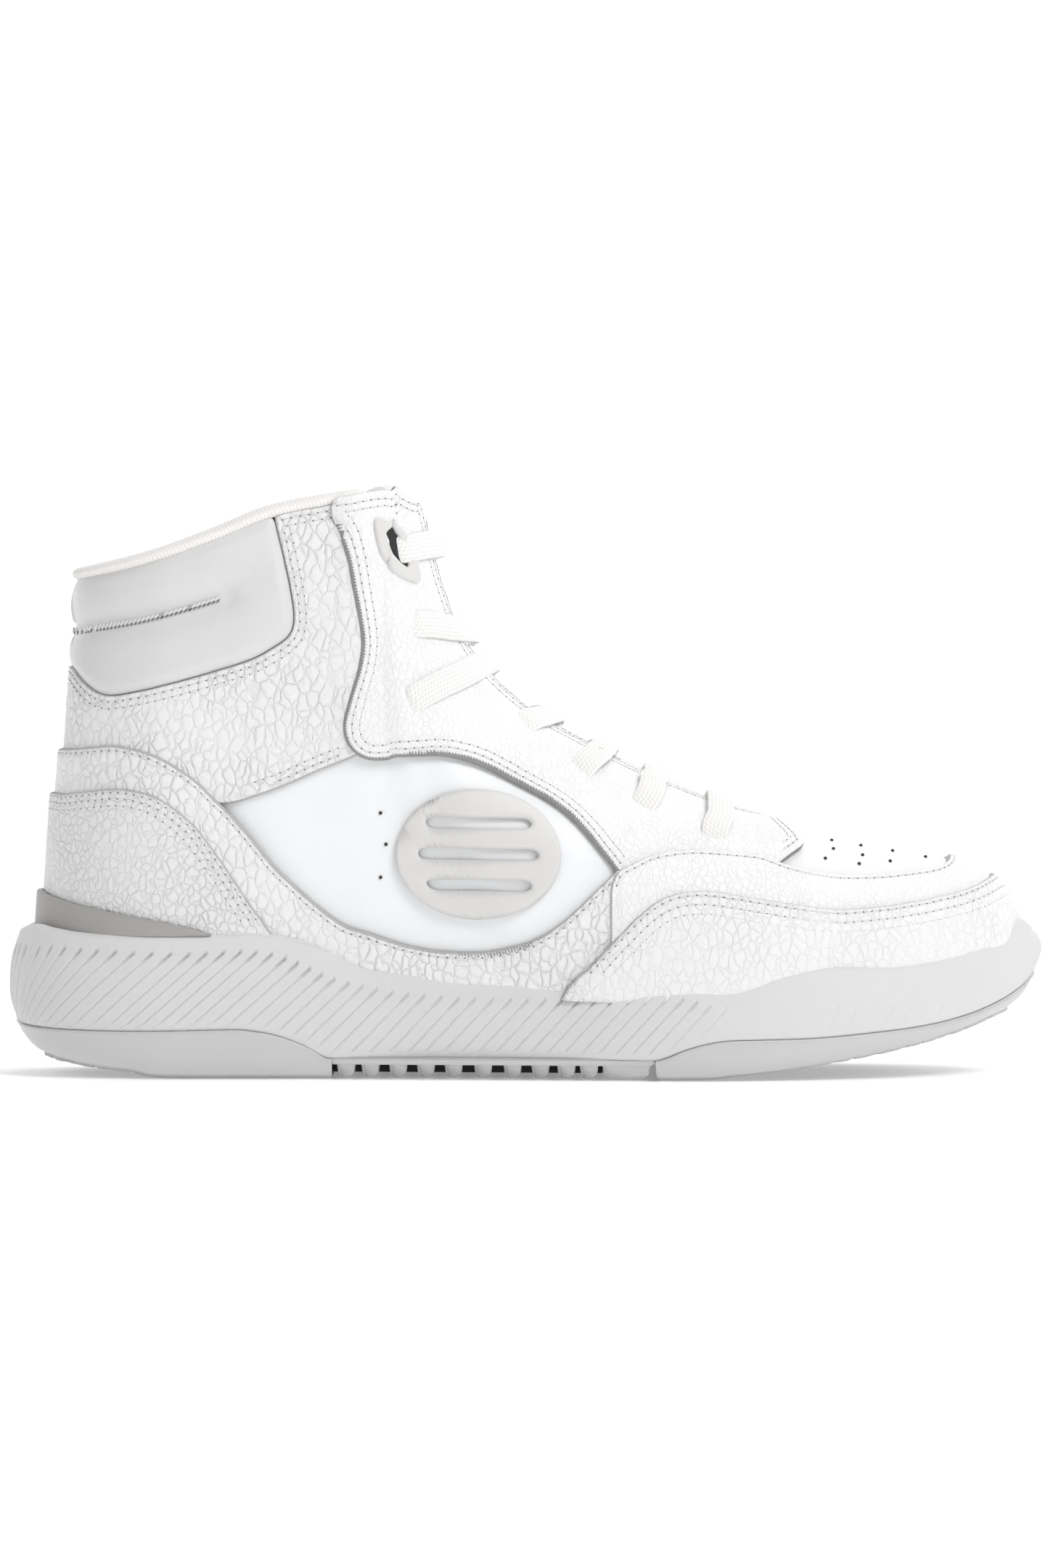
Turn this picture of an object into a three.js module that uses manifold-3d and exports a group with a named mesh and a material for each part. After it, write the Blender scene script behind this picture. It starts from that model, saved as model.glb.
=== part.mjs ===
// A white leather basketball high top (a right shoe), as an assembly of its separate pieces.
// Units are millimetres. The toe points along +X, the outer (lateral) side faces -Y and +Z is up.
// The origin is the middle of the shoe's box, on the ground.
import * as THREE from "three";
import { mergeVertices } from "three/addons/utils/BufferGeometryUtils.js";
import Module from "manifold-3d";

const wasm = await Module();
wasm.setup();

// ---------------------------------------------------------------- driving dimensions
const GAP = 0.3; // air between neighbouring pieces
const HALF_LENGTH = 151.2; // half of the sole's length
const REACH = 90; // how far a cutting prism runs sideways
const MERGE_DISTANCE = 1e-4; // vertices closer than this are one
const TOE_SWING = 8; // how far the toe turns inwards, to the medial side
const THROAT_END = 66; // where the lace opening stops, along X
const VAMP_SEAM = 30; // where the quarters meet the toe box, along X

// Distances of each layer from the body of the upper, inner face first, outwards positive.
const LAYER = {
  lining: [-4.6, -3.4],
  stiffener: [-3.1, -1.7],
  base: [-1.4, 0],
  first: [0.3, 1.7],
  second: [2.0, 3.4],
  third: [3.7, 5.1],
  lace: [3.7, 5.3],
  padFoam: [-3.1, 0],
  padSkin: [0.3, 3.0],
  binding: [-3.1, 1.5],
  clip: [5.4, 7.6],
  tongueFace: [-6.2, -4.9],
  tongueFoam: [-10.2, -7.0],
  tongueLining: [-12.2, -11.0],
};
const CAVITY = 5.4; // how far outside the body the midsole's wall starts
const BOARD_CLEARANCE = -4.9;
const INSOLE_CLEARANCE = -6.6;

// ---------------------------------------------------------------- curves and prisms
const smooth = (points, steps = 1) =>
  new THREE.SplineCurve(points.map(([x, z]) => new THREE.Vector2(x, z)))
    .getPoints(steps * (points.length - 1))
    .map((p) => [p.x, p.y]);

// A height that depends on x, through hand-chosen points.
function heightCurve(points) {
  const fine = smooth(points, 8);
  return (x) => {
    if (x <= fine[0][0]) return fine[0][1];
    const i = fine.findIndex((p) => p[0] >= x);
    if (i < 0) return fine[fine.length - 1][1];
    const [x0, z0] = fine[i - 1];
    const [x1, z1] = fine[i];
    return z0 + ((z1 - z0) * (x - x0)) / (x1 - x0);
  };
}

// Points along a height curve, from one x to another.
function along(height, from, to, step = 12, rise = 0) {
  const count = Math.max(1, Math.round(Math.abs(to - from) / step));
  return Array.from({ length: count + 1 }, (_, i) => {
    const x = from + ((to - from) * i) / count;
    return [x, height(x) + rise];
  });
}

// Moves an outline's points outwards by a small distance, whichever way round it runs.
function grown(outline, distance) {
  const turn = THREE.ShapeUtils.area(outline.map(([x, y]) => ({ x, y }))) > 0 ? 1 : -1;
  return outline.map(([x, z], i) => {
    const before = outline[(i + outline.length - 1) % outline.length];
    const after = outline[(i + 1) % outline.length];
    const side = new THREE.Vector2(after[1] - before[1], before[0] - after[0]).normalize();
    return [x + side.x * distance * turn, z + side.y * distance * turn];
  });
}

// A closed geometry as a solid that can be joined and cut.
function solid(geometry) {
  geometry.deleteAttribute("normal");
  geometry.deleteAttribute("uv");
  const merged = mergeVertices(geometry, MERGE_DISTANCE);
  const vertProperties = merged.getAttribute("position").array;
  const triVerts = new Uint32Array(merged.index.array);
  return new wasm.Manifold(new wasm.Mesh({ numProp: 3, vertProperties, triVerts }));
}

const shapeOf = (outline) => new THREE.Shape(outline.map(([x, y]) => new THREE.Vector2(x, y)));

// An outline drawn in side elevation (x, z), run sideways from one y to another.
function sidePrism(outline, yFrom = -REACH, yTo = REACH) {
  const geometry = new THREE.ExtrudeGeometry(shapeOf(outline), { depth: yTo - yFrom, bevelEnabled: false });
  return solid(geometry.rotateX(Math.PI / 2).translate(0, yTo, 0));
}

// An outline drawn in plan (x, y), run upwards from one z to another.
function planPrism(outline, zFrom, zTo) {
  const geometry = new THREE.ExtrudeGeometry(shapeOf(outline), { depth: zTo - zFrom, bevelEnabled: false });
  return solid(geometry.translate(0, 0, zFrom));
}

// ---------------------------------------------------------------- side elevation curves
const soleCurve = heightCurve([
  [-151.2, 15], [-148, 9.5], [-143, 6], [-130, 3.3], [-115, 1.6], [-104, 0], [-60, 0], [40, 0],
  [60, 1], [80, 3.3], [100, 6.5], [120, 10.9], [135, 15.8], [146, 21], [151.2, 32],
]);
const soleBottom = (x) => Math.max(0, soleCurve(x));
const soleTop = heightCurve([
  [-151.2, 42], [-146.5, 43.9], [-140, 43], [-125, 41.7], [-90, 42], [-78, 42.6], [-65, 40], [-50, 33],
  [-40, 31], [0, 29.1], [30, 29.8], [50, 27.5], [60, 27], [75, 30.5], [90, 32], [108, 31.8], [125, 34.3],
  [140, 39.3], [147, 44.3], [151.2, 42],
]);
const featherLine = heightCurve([
  [-138, 34], [-100, 33], [-70, 29], [-40, 23], [0, 20.5], [40, 19.5], [70, 20], [100, 23], [125, 26.5], [143, 30],
]);
const collarEdge = heightCurve([
  [-150, 144], [-133, 146.3], [-110, 151.5], [-90, 158.5], [-75, 164.6], [-60, 167.8], [-43, 170], [-20, 170],
]);

// ---------------------------------------------------------------- plan outline of the sole
const soleHalfWidth = [
  [-151.2, 0], [-149.3, 13], [-143, 25], [-130, 34.5], [-110, 40.5], [-85, 41.5], [-55, 40.5], [-25, 41],
  [5, 45.5], [30, 51], [52, 54], [75, 53], [98, 48.5], [118, 40.5], [134, 29], [145, 16], [150, 8], [151.2, 0],
];
const toeSwing = (x) => TOE_SWING * (Math.max(0, x + 20) / (HALF_LENGTH + 20)) ** 2;
// The toe's turn would move the box's middle sideways, so it is taken back everywhere.
const widest = (side) =>
  Math.max(...smooth(soleHalfWidth, 8).map(([x, halfWidth]) => side * (side * halfWidth + toeSwing(x))));
const SIDE_SHIFT = (widest(1) - widest(-1)) / 2;
const centreLine = (x) => toeSwing(x) - SIDE_SHIFT;

// ---------------------------------------------------------------- grids closed into solids
// grid[column][row] = [x, halfWidth, z]. Column 0 is the heel's centre line and the last one the toe's.
// Both sides are made from it, joined where the half width is 0, and offset along their normals.
function closedGrid(grid, offset) {
  const index = new Map();
  const positions = [];
  const vertex = (column, row, side) => {
    const [x, halfWidth, z] = grid[column][row];
    const onCentre = halfWidth < 1e-6;
    const key = [column, row, onCentre ? 0 : side].join();
    if (!index.has(key)) {
      index.set(key, positions.length / 3);
      positions.push(x, side * (onCentre ? 0 : halfWidth) + centreLine(x), z);
    }
    return index.get(key);
  };
  const walls = [];
  const caps = [];
  const addQuad = (list, a, b, c, d) => {
    for (const [p, q, r] of [[a, b, c], [a, c, d]])
      if (p !== q && q !== r && p !== r) list.push(p, q, r);
  };
  const top = grid[0].length - 1;
  for (let column = 0; column < grid.length - 1; column++) {
    for (let row = 0; row < top; row++) {
      const corners = (side) => [
        vertex(column, row, side),
        vertex(column + 1, row, side),
        vertex(column + 1, row + 1, side),
        vertex(column, row + 1, side),
      ];
      const [a, b, c, d] = corners(1);
      addQuad(walls, ...corners(-1));
      addQuad(walls, a, d, c, b);
    }
    const ends = (row) => [
      vertex(column, row, -1),
      vertex(column, row, 1),
      vertex(column + 1, row, 1),
      vertex(column + 1, row, -1),
    ];
    addQuad(caps, ...ends(0));
    addQuad(caps, ...ends(top).reverse());
  }
  const geometry = new THREE.BufferGeometry();
  geometry.setAttribute("position", new THREE.Float32BufferAttribute(positions, 3));
  geometry.setIndex(walls);
  geometry.computeVertexNormals();
  const place = geometry.getAttribute("position");
  const normal = geometry.getAttribute("normal");
  for (let i = 0; i < place.count; i++)
    place.setXYZ(
      i,
      place.getX(i) + offset * normal.getX(i),
      place.getY(i) + offset * normal.getY(i),
      place.getZ(i) + offset * normal.getZ(i),
    );
  geometry.setIndex([...walls, ...caps]);
  return solid(geometry);
}

const catmullRom = (a, b, c, d, t) =>
  0.5 * (2 * b + (c - a) * t + (2 * a - 5 * b + 4 * c - d) * t * t + (3 * b - a - 3 * c + d) * t * t * t);

// ---------------------------------------------------------------- the body of the upper
// Ribs from the heel's centre line to the toe's. Each one runs from the feather line up to the collar or
// over to the ridge: [foot x, bow x, bow z, top x, top z, half widths at 0, 1/3, 2/3 and 1, closed].
// A closed rib rounds over to the ridge, and an open one ends at the collar.
const RIBS = [
  [-137.6, -134.3, 88, -129.5, 153, 0, 0, 0, 0, 0],
  [-131.5, -129, 88, -124.5, 154, 17, 18.5, 17, 16.5, 0],
  [-112, -110, 90, -107, 158, 30, 31.5, 28.5, 28, 0],
  [-84, -86, 94, -84, 167, 32.5, 34, 31.5, 32.5, 0],
  [-55, -66, 98, -62, 180, 33, 35.5, 32, 31, 0],
  [-32, -54, 102, -45, 187, 35, 37, 31.5, 24, 0],
  [-24, -53, 105, -40, 188, 36, 37.5, 33.5, 27, 0.5],
  [-15, -50, 106, -36, 188, 37, 38, 35, 30, 1],
  [0, -44, 96, -27, 150, 39, 41, 37, 32, 1],
  [12, -28, 80, -18.5, 127, 41.5, 44, 38, 32, 1],
  [23, -4, 72, -3, 108.5, 43.5, 46, 39, 33, 1],
  [36, 18, 66, 15, 96.5, 45.2, 47, 40, 34, 1],
  [49, 42, 56, 40, 84.5, 46.2, 48.5, 43, 38, 1],
  [65, 60, 51, 60, 76, 46, 48.5, 46, 44, 1],
  [85, 82, 48, 80, 70.8, 43, 45.5, 45, 45, 1],
  [104, 102, 47, 100, 67.9, 38.5, 41, 42, 43, 1],
  [121, 119, 46, 116, 64.8, 30.5, 33, 34, 35, 1],
  [134, 134, 46, 127, 60.6, 20, 22.5, 24, 25, 1],
  [140.5, 142, 46.5, 132, 58, 10.5, 12, 13, 14, 1],
  [142.6, 144.3, 47, 133.5, 57.2, 0, 0, 0, 0, 1],
];
const RIB_STEPS = 1; // columns made from each pair of ribs
const WALL_ROWS = 7; // rows from the feather line to the top
const ROUNDING = 0.75; // how full the ridge is

function ribAt(place) {
  const last = RIBS.length - 1;
  const k = Math.min(last - 1, Math.floor(place));
  // Beyond either end the shoe goes on as its own mirror image.
  const rib = (i) => {
    const beyond = i < 0 || i > last;
    const values = RIBS[i < 0 ? -i : i > last ? 2 * last - i : i];
    return beyond ? values.map((v, n) => (n >= 5 && n <= 8 ? -v : v)) : values;
  };
  return RIBS[0].map((_, n) => catmullRom(rib(k - 1)[n], rib(k)[n], rib(k + 1)[n], rib(k + 2)[n], place - k));
}

function wallPoint(rib, w) {
  const [footX, bowX, bowZ, topX, topZ, w0, w1, w2, w3, closedRaw] = rib;
  const closed = Math.min(1, Math.max(0, closedRaw));
  const angle = (w * Math.PI) / 2;
  const t = (1 - closed) * w + closed * Math.sin(angle);
  const bezier = (a, b, c) => (1 - t) ** 2 * a + 2 * t * (1 - t) * b + t * t * c;
  const step = Math.min(2, Math.floor(w * 3));
  const keys = [w0 - (w1 - w0) / 2, w0, w1, w2, w3, w3 + (w3 - w2) / 2];
  const width = catmullRom(keys[step], keys[step + 1], keys[step + 2], keys[step + 3], w * 3 - step);
  const rounding = 1 - closed + closed * Math.max(0, Math.cos(angle)) ** ROUNDING;
  const halfWidth = Math.max(0, width * rounding);
  return [bezier(footX, bowX, topX), halfWidth < 0.01 ? 0 : halfWidth, bezier(featherLine(footX), bowZ, topZ)];
}

const columns = Array.from({ length: (RIBS.length - 1) * RIB_STEPS + 1 }, (_, i) => {
  const rib = ribAt(i / RIB_STEPS);
  return Array.from({ length: WALL_ROWS + 1 }, (_, row) => wallPoint(rib, row / WALL_ROWS));
});

const bodies = new Map();
function body(offset) {
  if (!bodies.has(offset)) bodies.set(offset, closedGrid(columns, offset));
  return bodies.get(offset);
}

const shells = new Map();
function shell([inner, outer]) {
  const key = inner + "," + outer;
  if (!shells.has(key)) shells.set(key, body(outer).subtract(body(inner)));
  return shells.get(key);
}

// ---------------------------------------------------------------- the lace opening
function throatSlot(halfWidth, end = THROAT_END, start = -62) {
  const edge = [
    [start, halfWidth], [-10, halfWidth], [20, halfWidth - 2], [end - 14, halfWidth - 5], [end - 3, halfWidth - 9],
  ];
  const across = (side) => edge.map(([x, y]) => [x, side * y + centreLine(x)]);
  return planPrism([...across(-1), [end, centreLine(end)], ...across(1).reverse()], 40, 200);
}
const EYESTAY_HALF_GAP = 14;
const slot = throatSlot(EYESTAY_HALF_GAP);
const innerSlot = throatSlot(EYESTAY_HALF_GAP + 2);

// ---------------------------------------------------------------- outlines of the upper's pieces
const BELOW = 0.8; // how far a wall stays above the feather line
const feather = (from, to) => along(featherLine, from, to, 12, BELOW);
const EDGE_DROP = 2.6; // the bound edge's height

const padEdge = [
  [-150, 118.6], [-133, 119], [-127, 113.4], [-120, 110.8], [-110, 112.5], [-90, 117.8], [-75, 123.5], [-69, 128],
  [-67.2, 134], [-69, 145], [-73.5, 161],
];
const padOutline = [...smooth(padEdge), ...along(collarEdge, -75, -150, 15, -EDGE_DROP - GAP)];
const padCut = grown(padOutline, 0.4);

const quarterOutline = [
  ...feather(-150, VAMP_SEAM - GAP),
  [VAMP_SEAM - GAP, 110],
  [-5, 130],
  [-10, 168],
  ...along(collarEdge, -30, -150, 15, -EDGE_DROP - GAP),
];
const vampOutline = [...feather(VAMP_SEAM, 155), [155, 90], [80, 100], [VAMP_SEAM, 110]];

const eyestayRear = smooth([
  [-56, 166], [-52.5, 152], [-48.5, 135], [-48, 119], [-53, 103], [-51, 95.5], [-43, 91.9], [-24, 93.8],
  [-8, 89.5], [7, 81.7], [18, 71.5], [26, 60.8],
]);
const eyestayOutline = [
  ...eyestayRear, [40, 62], [60, 62], [76, 64], [80, 68], [79, 76], [60, 95], [0, 130], [-10, 169], [-50, 168.2],
];
const reinforcementOutline = [
  [-39, 166], [-37, 148], [-34, 128], [-37, 110], [-40, 99], [-24, 96], [-6, 92], [10, 84], [22, 74],
  [27.5, 68.3], [27.5, 110], [0, 130], [-10, 167],
];
const anklePanelOutline = [
  [-150, 78], ...smooth([[-110, 78.5], [-94, 78.2], [-80, 81], [-60, 89], [-46, 94.5]]),
  [-41, 100], [-38, 112], [-35, 130], [-38, 150], [-40, 165],
  ...along(collarEdge, -44, -76, 10, -EDGE_DROP - GAP),
  [-150, 160],
];
const windowLower = [
  [-120, 96.3], [-110, 94.5], [-100, 89.5], [-92, 83], [-83, 74], [-74, 62.8], [-65, 54], [-56, 46.5],
  [-45, 42], [-30, 37.7], [-15, 36.6], [0, 39.5], [10, 45.5], [20, 55], [26, 60.8],
];
const heelCoverOutline = [
  ...feather(-150, -72),
  ...smooth([[-74, 43], [-79, 49.5], [-85, 58.5], [-92, 68.5], [-100, 77], [-110, 82.5], [-120, 83.8], [-135, 82]]),
  [-150, 82],
];
const innerMudguardTop = smooth([
  [29, 61.3], [36, 65.2], [46, 66.7], [60, 66], [75, 62.5], [90, 60.4], [105, 60.7], [118, 62.2],
]);
const innerMudguardOutline = [...innerMudguardTop, [122, 66], [124, 80], [155, 80], [155, 44], [90, 42], [45, 46], [30, 40]];
const outerMudguardTop = smooth([
  [14, 30], [27, 42.9], [36, 51], [44, 54.6], [54, 55.1], [70, 52.3], [90, 50.1], [105, 51.1], [120, 53.5], [131, 56.4],
  [140, 61],
]);
const outerMudguardOutline = [...feather(155, 14), ...outerMudguardTop, [155, 70]];
const heelOverlayOutline = [
  ...feather(-150, 12),
  ...outerMudguardTop.filter(([x]) => x < VAMP_SEAM).map(([x, z]) => [x - 1, z + 1]),
  [28, 58],
  ...[...windowLower].reverse(), [-130, 95.3], [-150, 95.3],
];
const clipOutline = [
  ...along(soleTop, -155, -88, 8, GAP), [-90, 42.9], [-100, 44.8], [-120, 48], [-135, 51], [-145, 54], [-155, 55],
];
const tongueOutline = [[70, 63], [68, 95], [0, 140], [-10, 172], [-50, 172], [-54, 160], [-44, 118], [-10, 88], [30, 74]];
const heelCounterOutline = [
  ...feather(-150, -84), ...smooth([[-86, 55], [-93, 70], [-104, 84], [-120, 92]]), [-150, 92],
];
const toePuffOutline = [...feather(98, 155), [155, 80], [104, 80]];

// ---------------------------------------------------------------- the scene graph
const shoe = new THREE.Group();

const LEATHER = { color: 0xe6e6e8, roughness: 0.55 };
const SMOOTH_LEATHER = { color: 0xf0f0f4, roughness: 0.35 };
const PAD_LEATHER = { color: 0xd2d2d4, roughness: 0.4 };
const KNIT = { color: 0xf1efe9, roughness: 0.9 };
const CLOTH = { color: 0xe9e7e2, roughness: 0.9 };
const GREY_PLASTIC = { color: 0xd9d8d4, roughness: 0.45 };
const CLIP_PLASTIC = { color: 0x8d8885, roughness: 0.5 };
const MIDSOLE = { color: 0xd5d5d6, roughness: 0.75 };
const RUBBER = { color: 0xcccdcf, roughness: 0.35 };
const FOAM = { color: 0xe4e0d2, roughness: 0.95 };
const BOARD = { color: 0xcdbfa2, roughness: 0.9 };

function add(name, made, finish) {
  const parts = made.decompose().sort((a, b) => b.volume() - a.volume());
  const mesh = parts[0].getMesh();
  const geometry = new THREE.BufferGeometry();
  const positions = new Float32Array(mesh.numVert * 3);
  for (let i = 0; i < mesh.numVert; i++)
    positions.set(mesh.vertProperties.subarray(i * mesh.numProp, i * mesh.numProp + 3), i * 3);
  geometry.setAttribute("position", new THREE.BufferAttribute(positions, 3));
  geometry.setIndex(new THREE.BufferAttribute(mesh.triVerts, 1));
  const part = new THREE.Mesh(geometry, new THREE.MeshStandardMaterial({ metalness: 0, ...finish }));
  part.name = name;
  shoe.add(part);
  return parts[0];
}

const SIDES = { lateral: [-REACH, -GAP / 2 - SIDE_SHIFT], medial: [GAP / 2 - SIDE_SHIFT, REACH] };
const onBothSides = (make) => Object.entries(SIDES).forEach(([side, span]) => make(side, span));

// Upper: base layer, linings and what lies between them.
onBothSides((side, span) => {
  const wall = shell(LAYER.base).intersect(sidePrism(quarterOutline, ...span));
  add("quarter_" + side, wall.subtract(sidePrism(padCut)).subtract(slot), SMOOTH_LEATHER);
  const cloth = shell(LAYER.lining).intersect(sidePrism(quarterOutline, ...span));
  add("lining_" + side, cloth.subtract(innerSlot), CLOTH);
});
const toeBox = shell(LAYER.base).intersect(sidePrism(vampOutline));
add("toe_box", toeBox.subtract(slot), SMOOTH_LEATHER);
const vampLining = shell(LAYER.lining).intersect(sidePrism(vampOutline));
add("lining_vamp", vampLining.subtract(innerSlot), CLOTH);
add("heel_stiffener", shell(LAYER.stiffener).intersect(sidePrism(heelCounterOutline)), BOARD);
add("toe_stiffener", shell(LAYER.stiffener).intersect(sidePrism(toePuffOutline)), BOARD);

// Collar: foam, its leather cover and the bound edge.
add("collar_foam", shell(LAYER.padFoam).intersect(sidePrism(padOutline)), FOAM);
add("collar_pad", shell(LAYER.padSkin).intersect(sidePrism(padOutline)), PAD_LEATHER);
const bindingBand = [...along(collarEdge, -150, -46, 15), ...along(collarEdge, -46, -150, 15, -EDGE_DROP)];
add("collar_binding", shell(LAYER.binding).intersect(sidePrism(bindingBand)), KNIT);

// Upper: the panels stitched over the base layer.
onBothSides((side, span) => {
  const ankle = shell(LAYER.first).intersect(sidePrism(anklePanelOutline, ...span));
  add("ankle_panel_" + side, ankle.subtract(sidePrism(padCut)), LEATHER);
  const support = shell(LAYER.first).intersect(sidePrism(reinforcementOutline, ...span));
  add("eyestay_reinforcement_" + side, support.subtract(slot), CLOTH);
});
add("eyestay", shell(LAYER.second).intersect(sidePrism(eyestayOutline)).subtract(slot), LEATHER);
add("heel_overlay", shell(LAYER.second).intersect(sidePrism(heelOverlayOutline)), LEATHER);
add("heel_counter_cover", shell(LAYER.third).intersect(sidePrism(heelCoverOutline)), LEATHER);
add("mudguard_inner", shell(LAYER.first).intersect(sidePrism(innerMudguardOutline)), LEATHER);
add("mudguard_outer", shell(LAYER.second).intersect(sidePrism(outerMudguardOutline)), LEATHER);

// Vent insert in the quarter window: an oval plate with level slots.
const VENT_CENTRE = [-14, 65];
const VENT_RADII = [24, 19];
const VENT_SLOTS = [-9, 0, 9]; // heights of the slots' middles
const VENT_SLOT_HALF_HEIGHT = 1.6;
const OVAL_SIDES = 20;
const oval = Array.from({ length: OVAL_SIDES }, (_, i) => {
  const angle = (i * 2 * Math.PI) / OVAL_SIDES;
  return [VENT_CENTRE[0] + VENT_RADII[0] * Math.cos(angle), VENT_CENTRE[1] + VENT_RADII[1] * Math.sin(angle)];
});
onBothSides((side, span) => {
  let plate = shell(LAYER.first).intersect(sidePrism(oval, ...span));
  for (const rise of VENT_SLOTS) {
    const reach = (VENT_RADII[0] - 6) * Math.sqrt(1 - (rise / VENT_RADII[1]) ** 2);
    const [x, z] = VENT_CENTRE;
    const low = z + rise - VENT_SLOT_HALF_HEIGHT;
    const high = z + rise + VENT_SLOT_HALF_HEIGHT;
    plate = plate.subtract(sidePrism([[x - reach, low], [x + reach, low], [x + reach, high], [x - reach, high]]));
  }
  add("vent_insert_" + side, plate, GREY_PLASTIC);
});

// Lace rows, from the top of the shaft to the toe. Each outline is [two corners at the outer eyestay,
// then the way that the row runs over the ridge].
const LACE_ROWS = [
  [[-38, 156.3], [-36, 148.3], [24, -1]],
  [[-33.5, 134], [-31, 126.5], [22, 2]],
  [[-35, 112], [-31, 106], [24, 12.5]],
  [[-3.5, 103.3], [4, 98.5], [12, 11]],
  [[14.3, 92.3], [21.5, 87.3], [10, 15]],
  [[31, 82.7], [38.5, 79.2], [6, 13]],
  [[51.3, 73.5], [58, 70.8], [4, 14]],
];
const rowOutline = ([a, b, [dx, dz]]) => [a, b, [b[0] + dx, b[1] + dz], [a[0] + dx, a[1] + dz]];
LACE_ROWS.forEach((row, i) => {
  add("lace_row_" + (i + 1), shell(LAYER.lace).intersect(sidePrism(rowOutline(row))), KNIT);
});

// Lace cages: moulded loops at the top of the eyestay that hold the first row.
const cageOutline = [[-44, 162.5], [-38, 160.5], [-33.5, 157], [-31, 150], [-30, 143.3], [-34, 144], [-38.5, 146.5], [-41, 150]];
const cageWindow = sidePrism(grown(rowOutline(LACE_ROWS[0]), 0.4));
onBothSides((side, span) => {
  const loop = shell(LAYER.third).intersect(sidePrism(cageOutline, ...span));
  add("lace_cage_" + side, loop.subtract(cageWindow), GREY_PLASTIC);
});

// Tongue: face, foam, lining and the bound top edge. All four move together.
const TONGUE_HALF_WIDTH = 22;
const TONGUE_TOP = 172;
const tongueStrip = throatSlot(TONGUE_HALF_WIDTH, THROAT_END + 2, -56);
const tongueRegion = sidePrism(tongueOutline).intersect(tongueStrip);
const tongueTopCut = sidePrism([[-80, TONGUE_TOP - 2.5], [20, TONGUE_TOP - 2.5], [20, 190], [-80, 190]]);
const tongueBody = tongueRegion.subtract(tongueTopCut);
add("tongue_face", shell(LAYER.tongueFace).intersect(tongueBody), SMOOTH_LEATHER);
add("tongue_foam", shell(LAYER.tongueFoam).intersect(tongueBody), FOAM);
add("tongue_lining", shell(LAYER.tongueLining).intersect(tongueBody), CLOTH);
const tongueBand = sidePrism([
  [-80, TONGUE_TOP - 2.2], [20, TONGUE_TOP - 2.2], [20, TONGUE_TOP], [-80, TONGUE_TOP],
]);
const tongueEdge = shell([LAYER.tongueLining[0], LAYER.tongueFace[1]]);
add("tongue_binding", tongueEdge.intersect(tongueRegion).intersect(tongueBand), KNIT);

// ---------------------------------------------------------------- inside the shoe
// A plate that follows the feather line, between two heights above it.
const floorBand = (from, to, low, high) =>
  sidePrism([...along(featherLine, from, to, 12, low), ...along(featherLine, to, from, 12, high)]);
add("lasting_board", body(BOARD_CLEARANCE).intersect(floorBand(-134, 138, 0.6, 2.6)), BOARD);

const INSOLE = [2.9, 6.6]; // heights of the footbed foam above the feather line
const TOP_CLOTH = [6.9, 7.7];
const HEEL_CUSHION = [2.9, 5.0];
const INSOLE_ENDS = [-128, 130];
const cushionZone = planPrism([[-124, -19], [-86, -21], [-86, 17], [-124, 15]], 0, 60);
const cushionPocket = planPrism([[-124.4, -19.4], [-85.6, -21.4], [-85.6, 17.4], [-124.4, 15.4]], 0, 60);
const footbed = body(INSOLE_CLEARANCE).intersect(floorBand(...INSOLE_ENDS, ...INSOLE));
const cushionLift = floorBand(-150, -60, -5, HEEL_CUSHION[1] + GAP);
add("insole", footbed.subtract(cushionPocket.intersect(cushionLift)), FOAM);
add("insole_top_cloth", body(INSOLE_CLEARANCE).intersect(floorBand(...INSOLE_ENDS, ...TOP_CLOTH)), CLOTH);
const cushion = body(INSOLE_CLEARANCE).intersect(floorBand(-140, -60, ...HEEL_CUSHION));
add("heel_cushion", cushion.intersect(cushionZone), RUBBER);

// ---------------------------------------------------------------- sole
// Rows of the sole's side wall: [how far inside the plan outline, share of the height].
const SOLE_ROWS = [[10, 0], [3.4, 0.05], [0.9, 0.2], [0, 0.38], [0.6, 0.7], [3.2, 1]];
const SOLE_STEPS = 1; // columns from each pair of outline points

function soleGrid(inset, lift, above) {
  const outline = smooth(soleHalfWidth, SOLE_STEPS);
  return outline.map(([x, halfWidth], i) => {
    const before = outline[Math.max(0, i - 1)];
    const after = outline[Math.min(outline.length - 1, i + 1)];
    const atEnd = i === 0 || i === outline.length - 1;
    const along2 = atEnd ? [0, 1] : [after[0] - before[0], after[1] - before[1]];
    const length = Math.hypot(...along2);
    const inward = atEnd ? [i === 0 ? 1 : -1, 0] : [along2[1] / length, -along2[0] / length];
    return SOLE_ROWS.map(([rowInset, share], row) => {
      const distance = rowInset + inset;
      const px = x + inward[0] * distance;
      const py = atEnd ? 0 : Math.max(0.02, halfWidth + inward[1] * distance);
      const low = soleBottom(px) + lift;
      const high = soleTop(px) + (row === SOLE_ROWS.length - 1 ? above : 0);
      return [px, py, low + (high - low) * share];
    });
  });
}
const SKIN = 3; // thickness of the outsole's side wall
const TREAD = 4; // thickness of the outsole's floor
const sole = closedGrid(soleGrid(0, 0, 0), 0);
const soleCore = closedGrid(soleGrid(SKIN, TREAD, 4), 0);
const soleCoreLoose = closedGrid(soleGrid(SKIN + GAP, TREAD + GAP, 4), 0);

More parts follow.
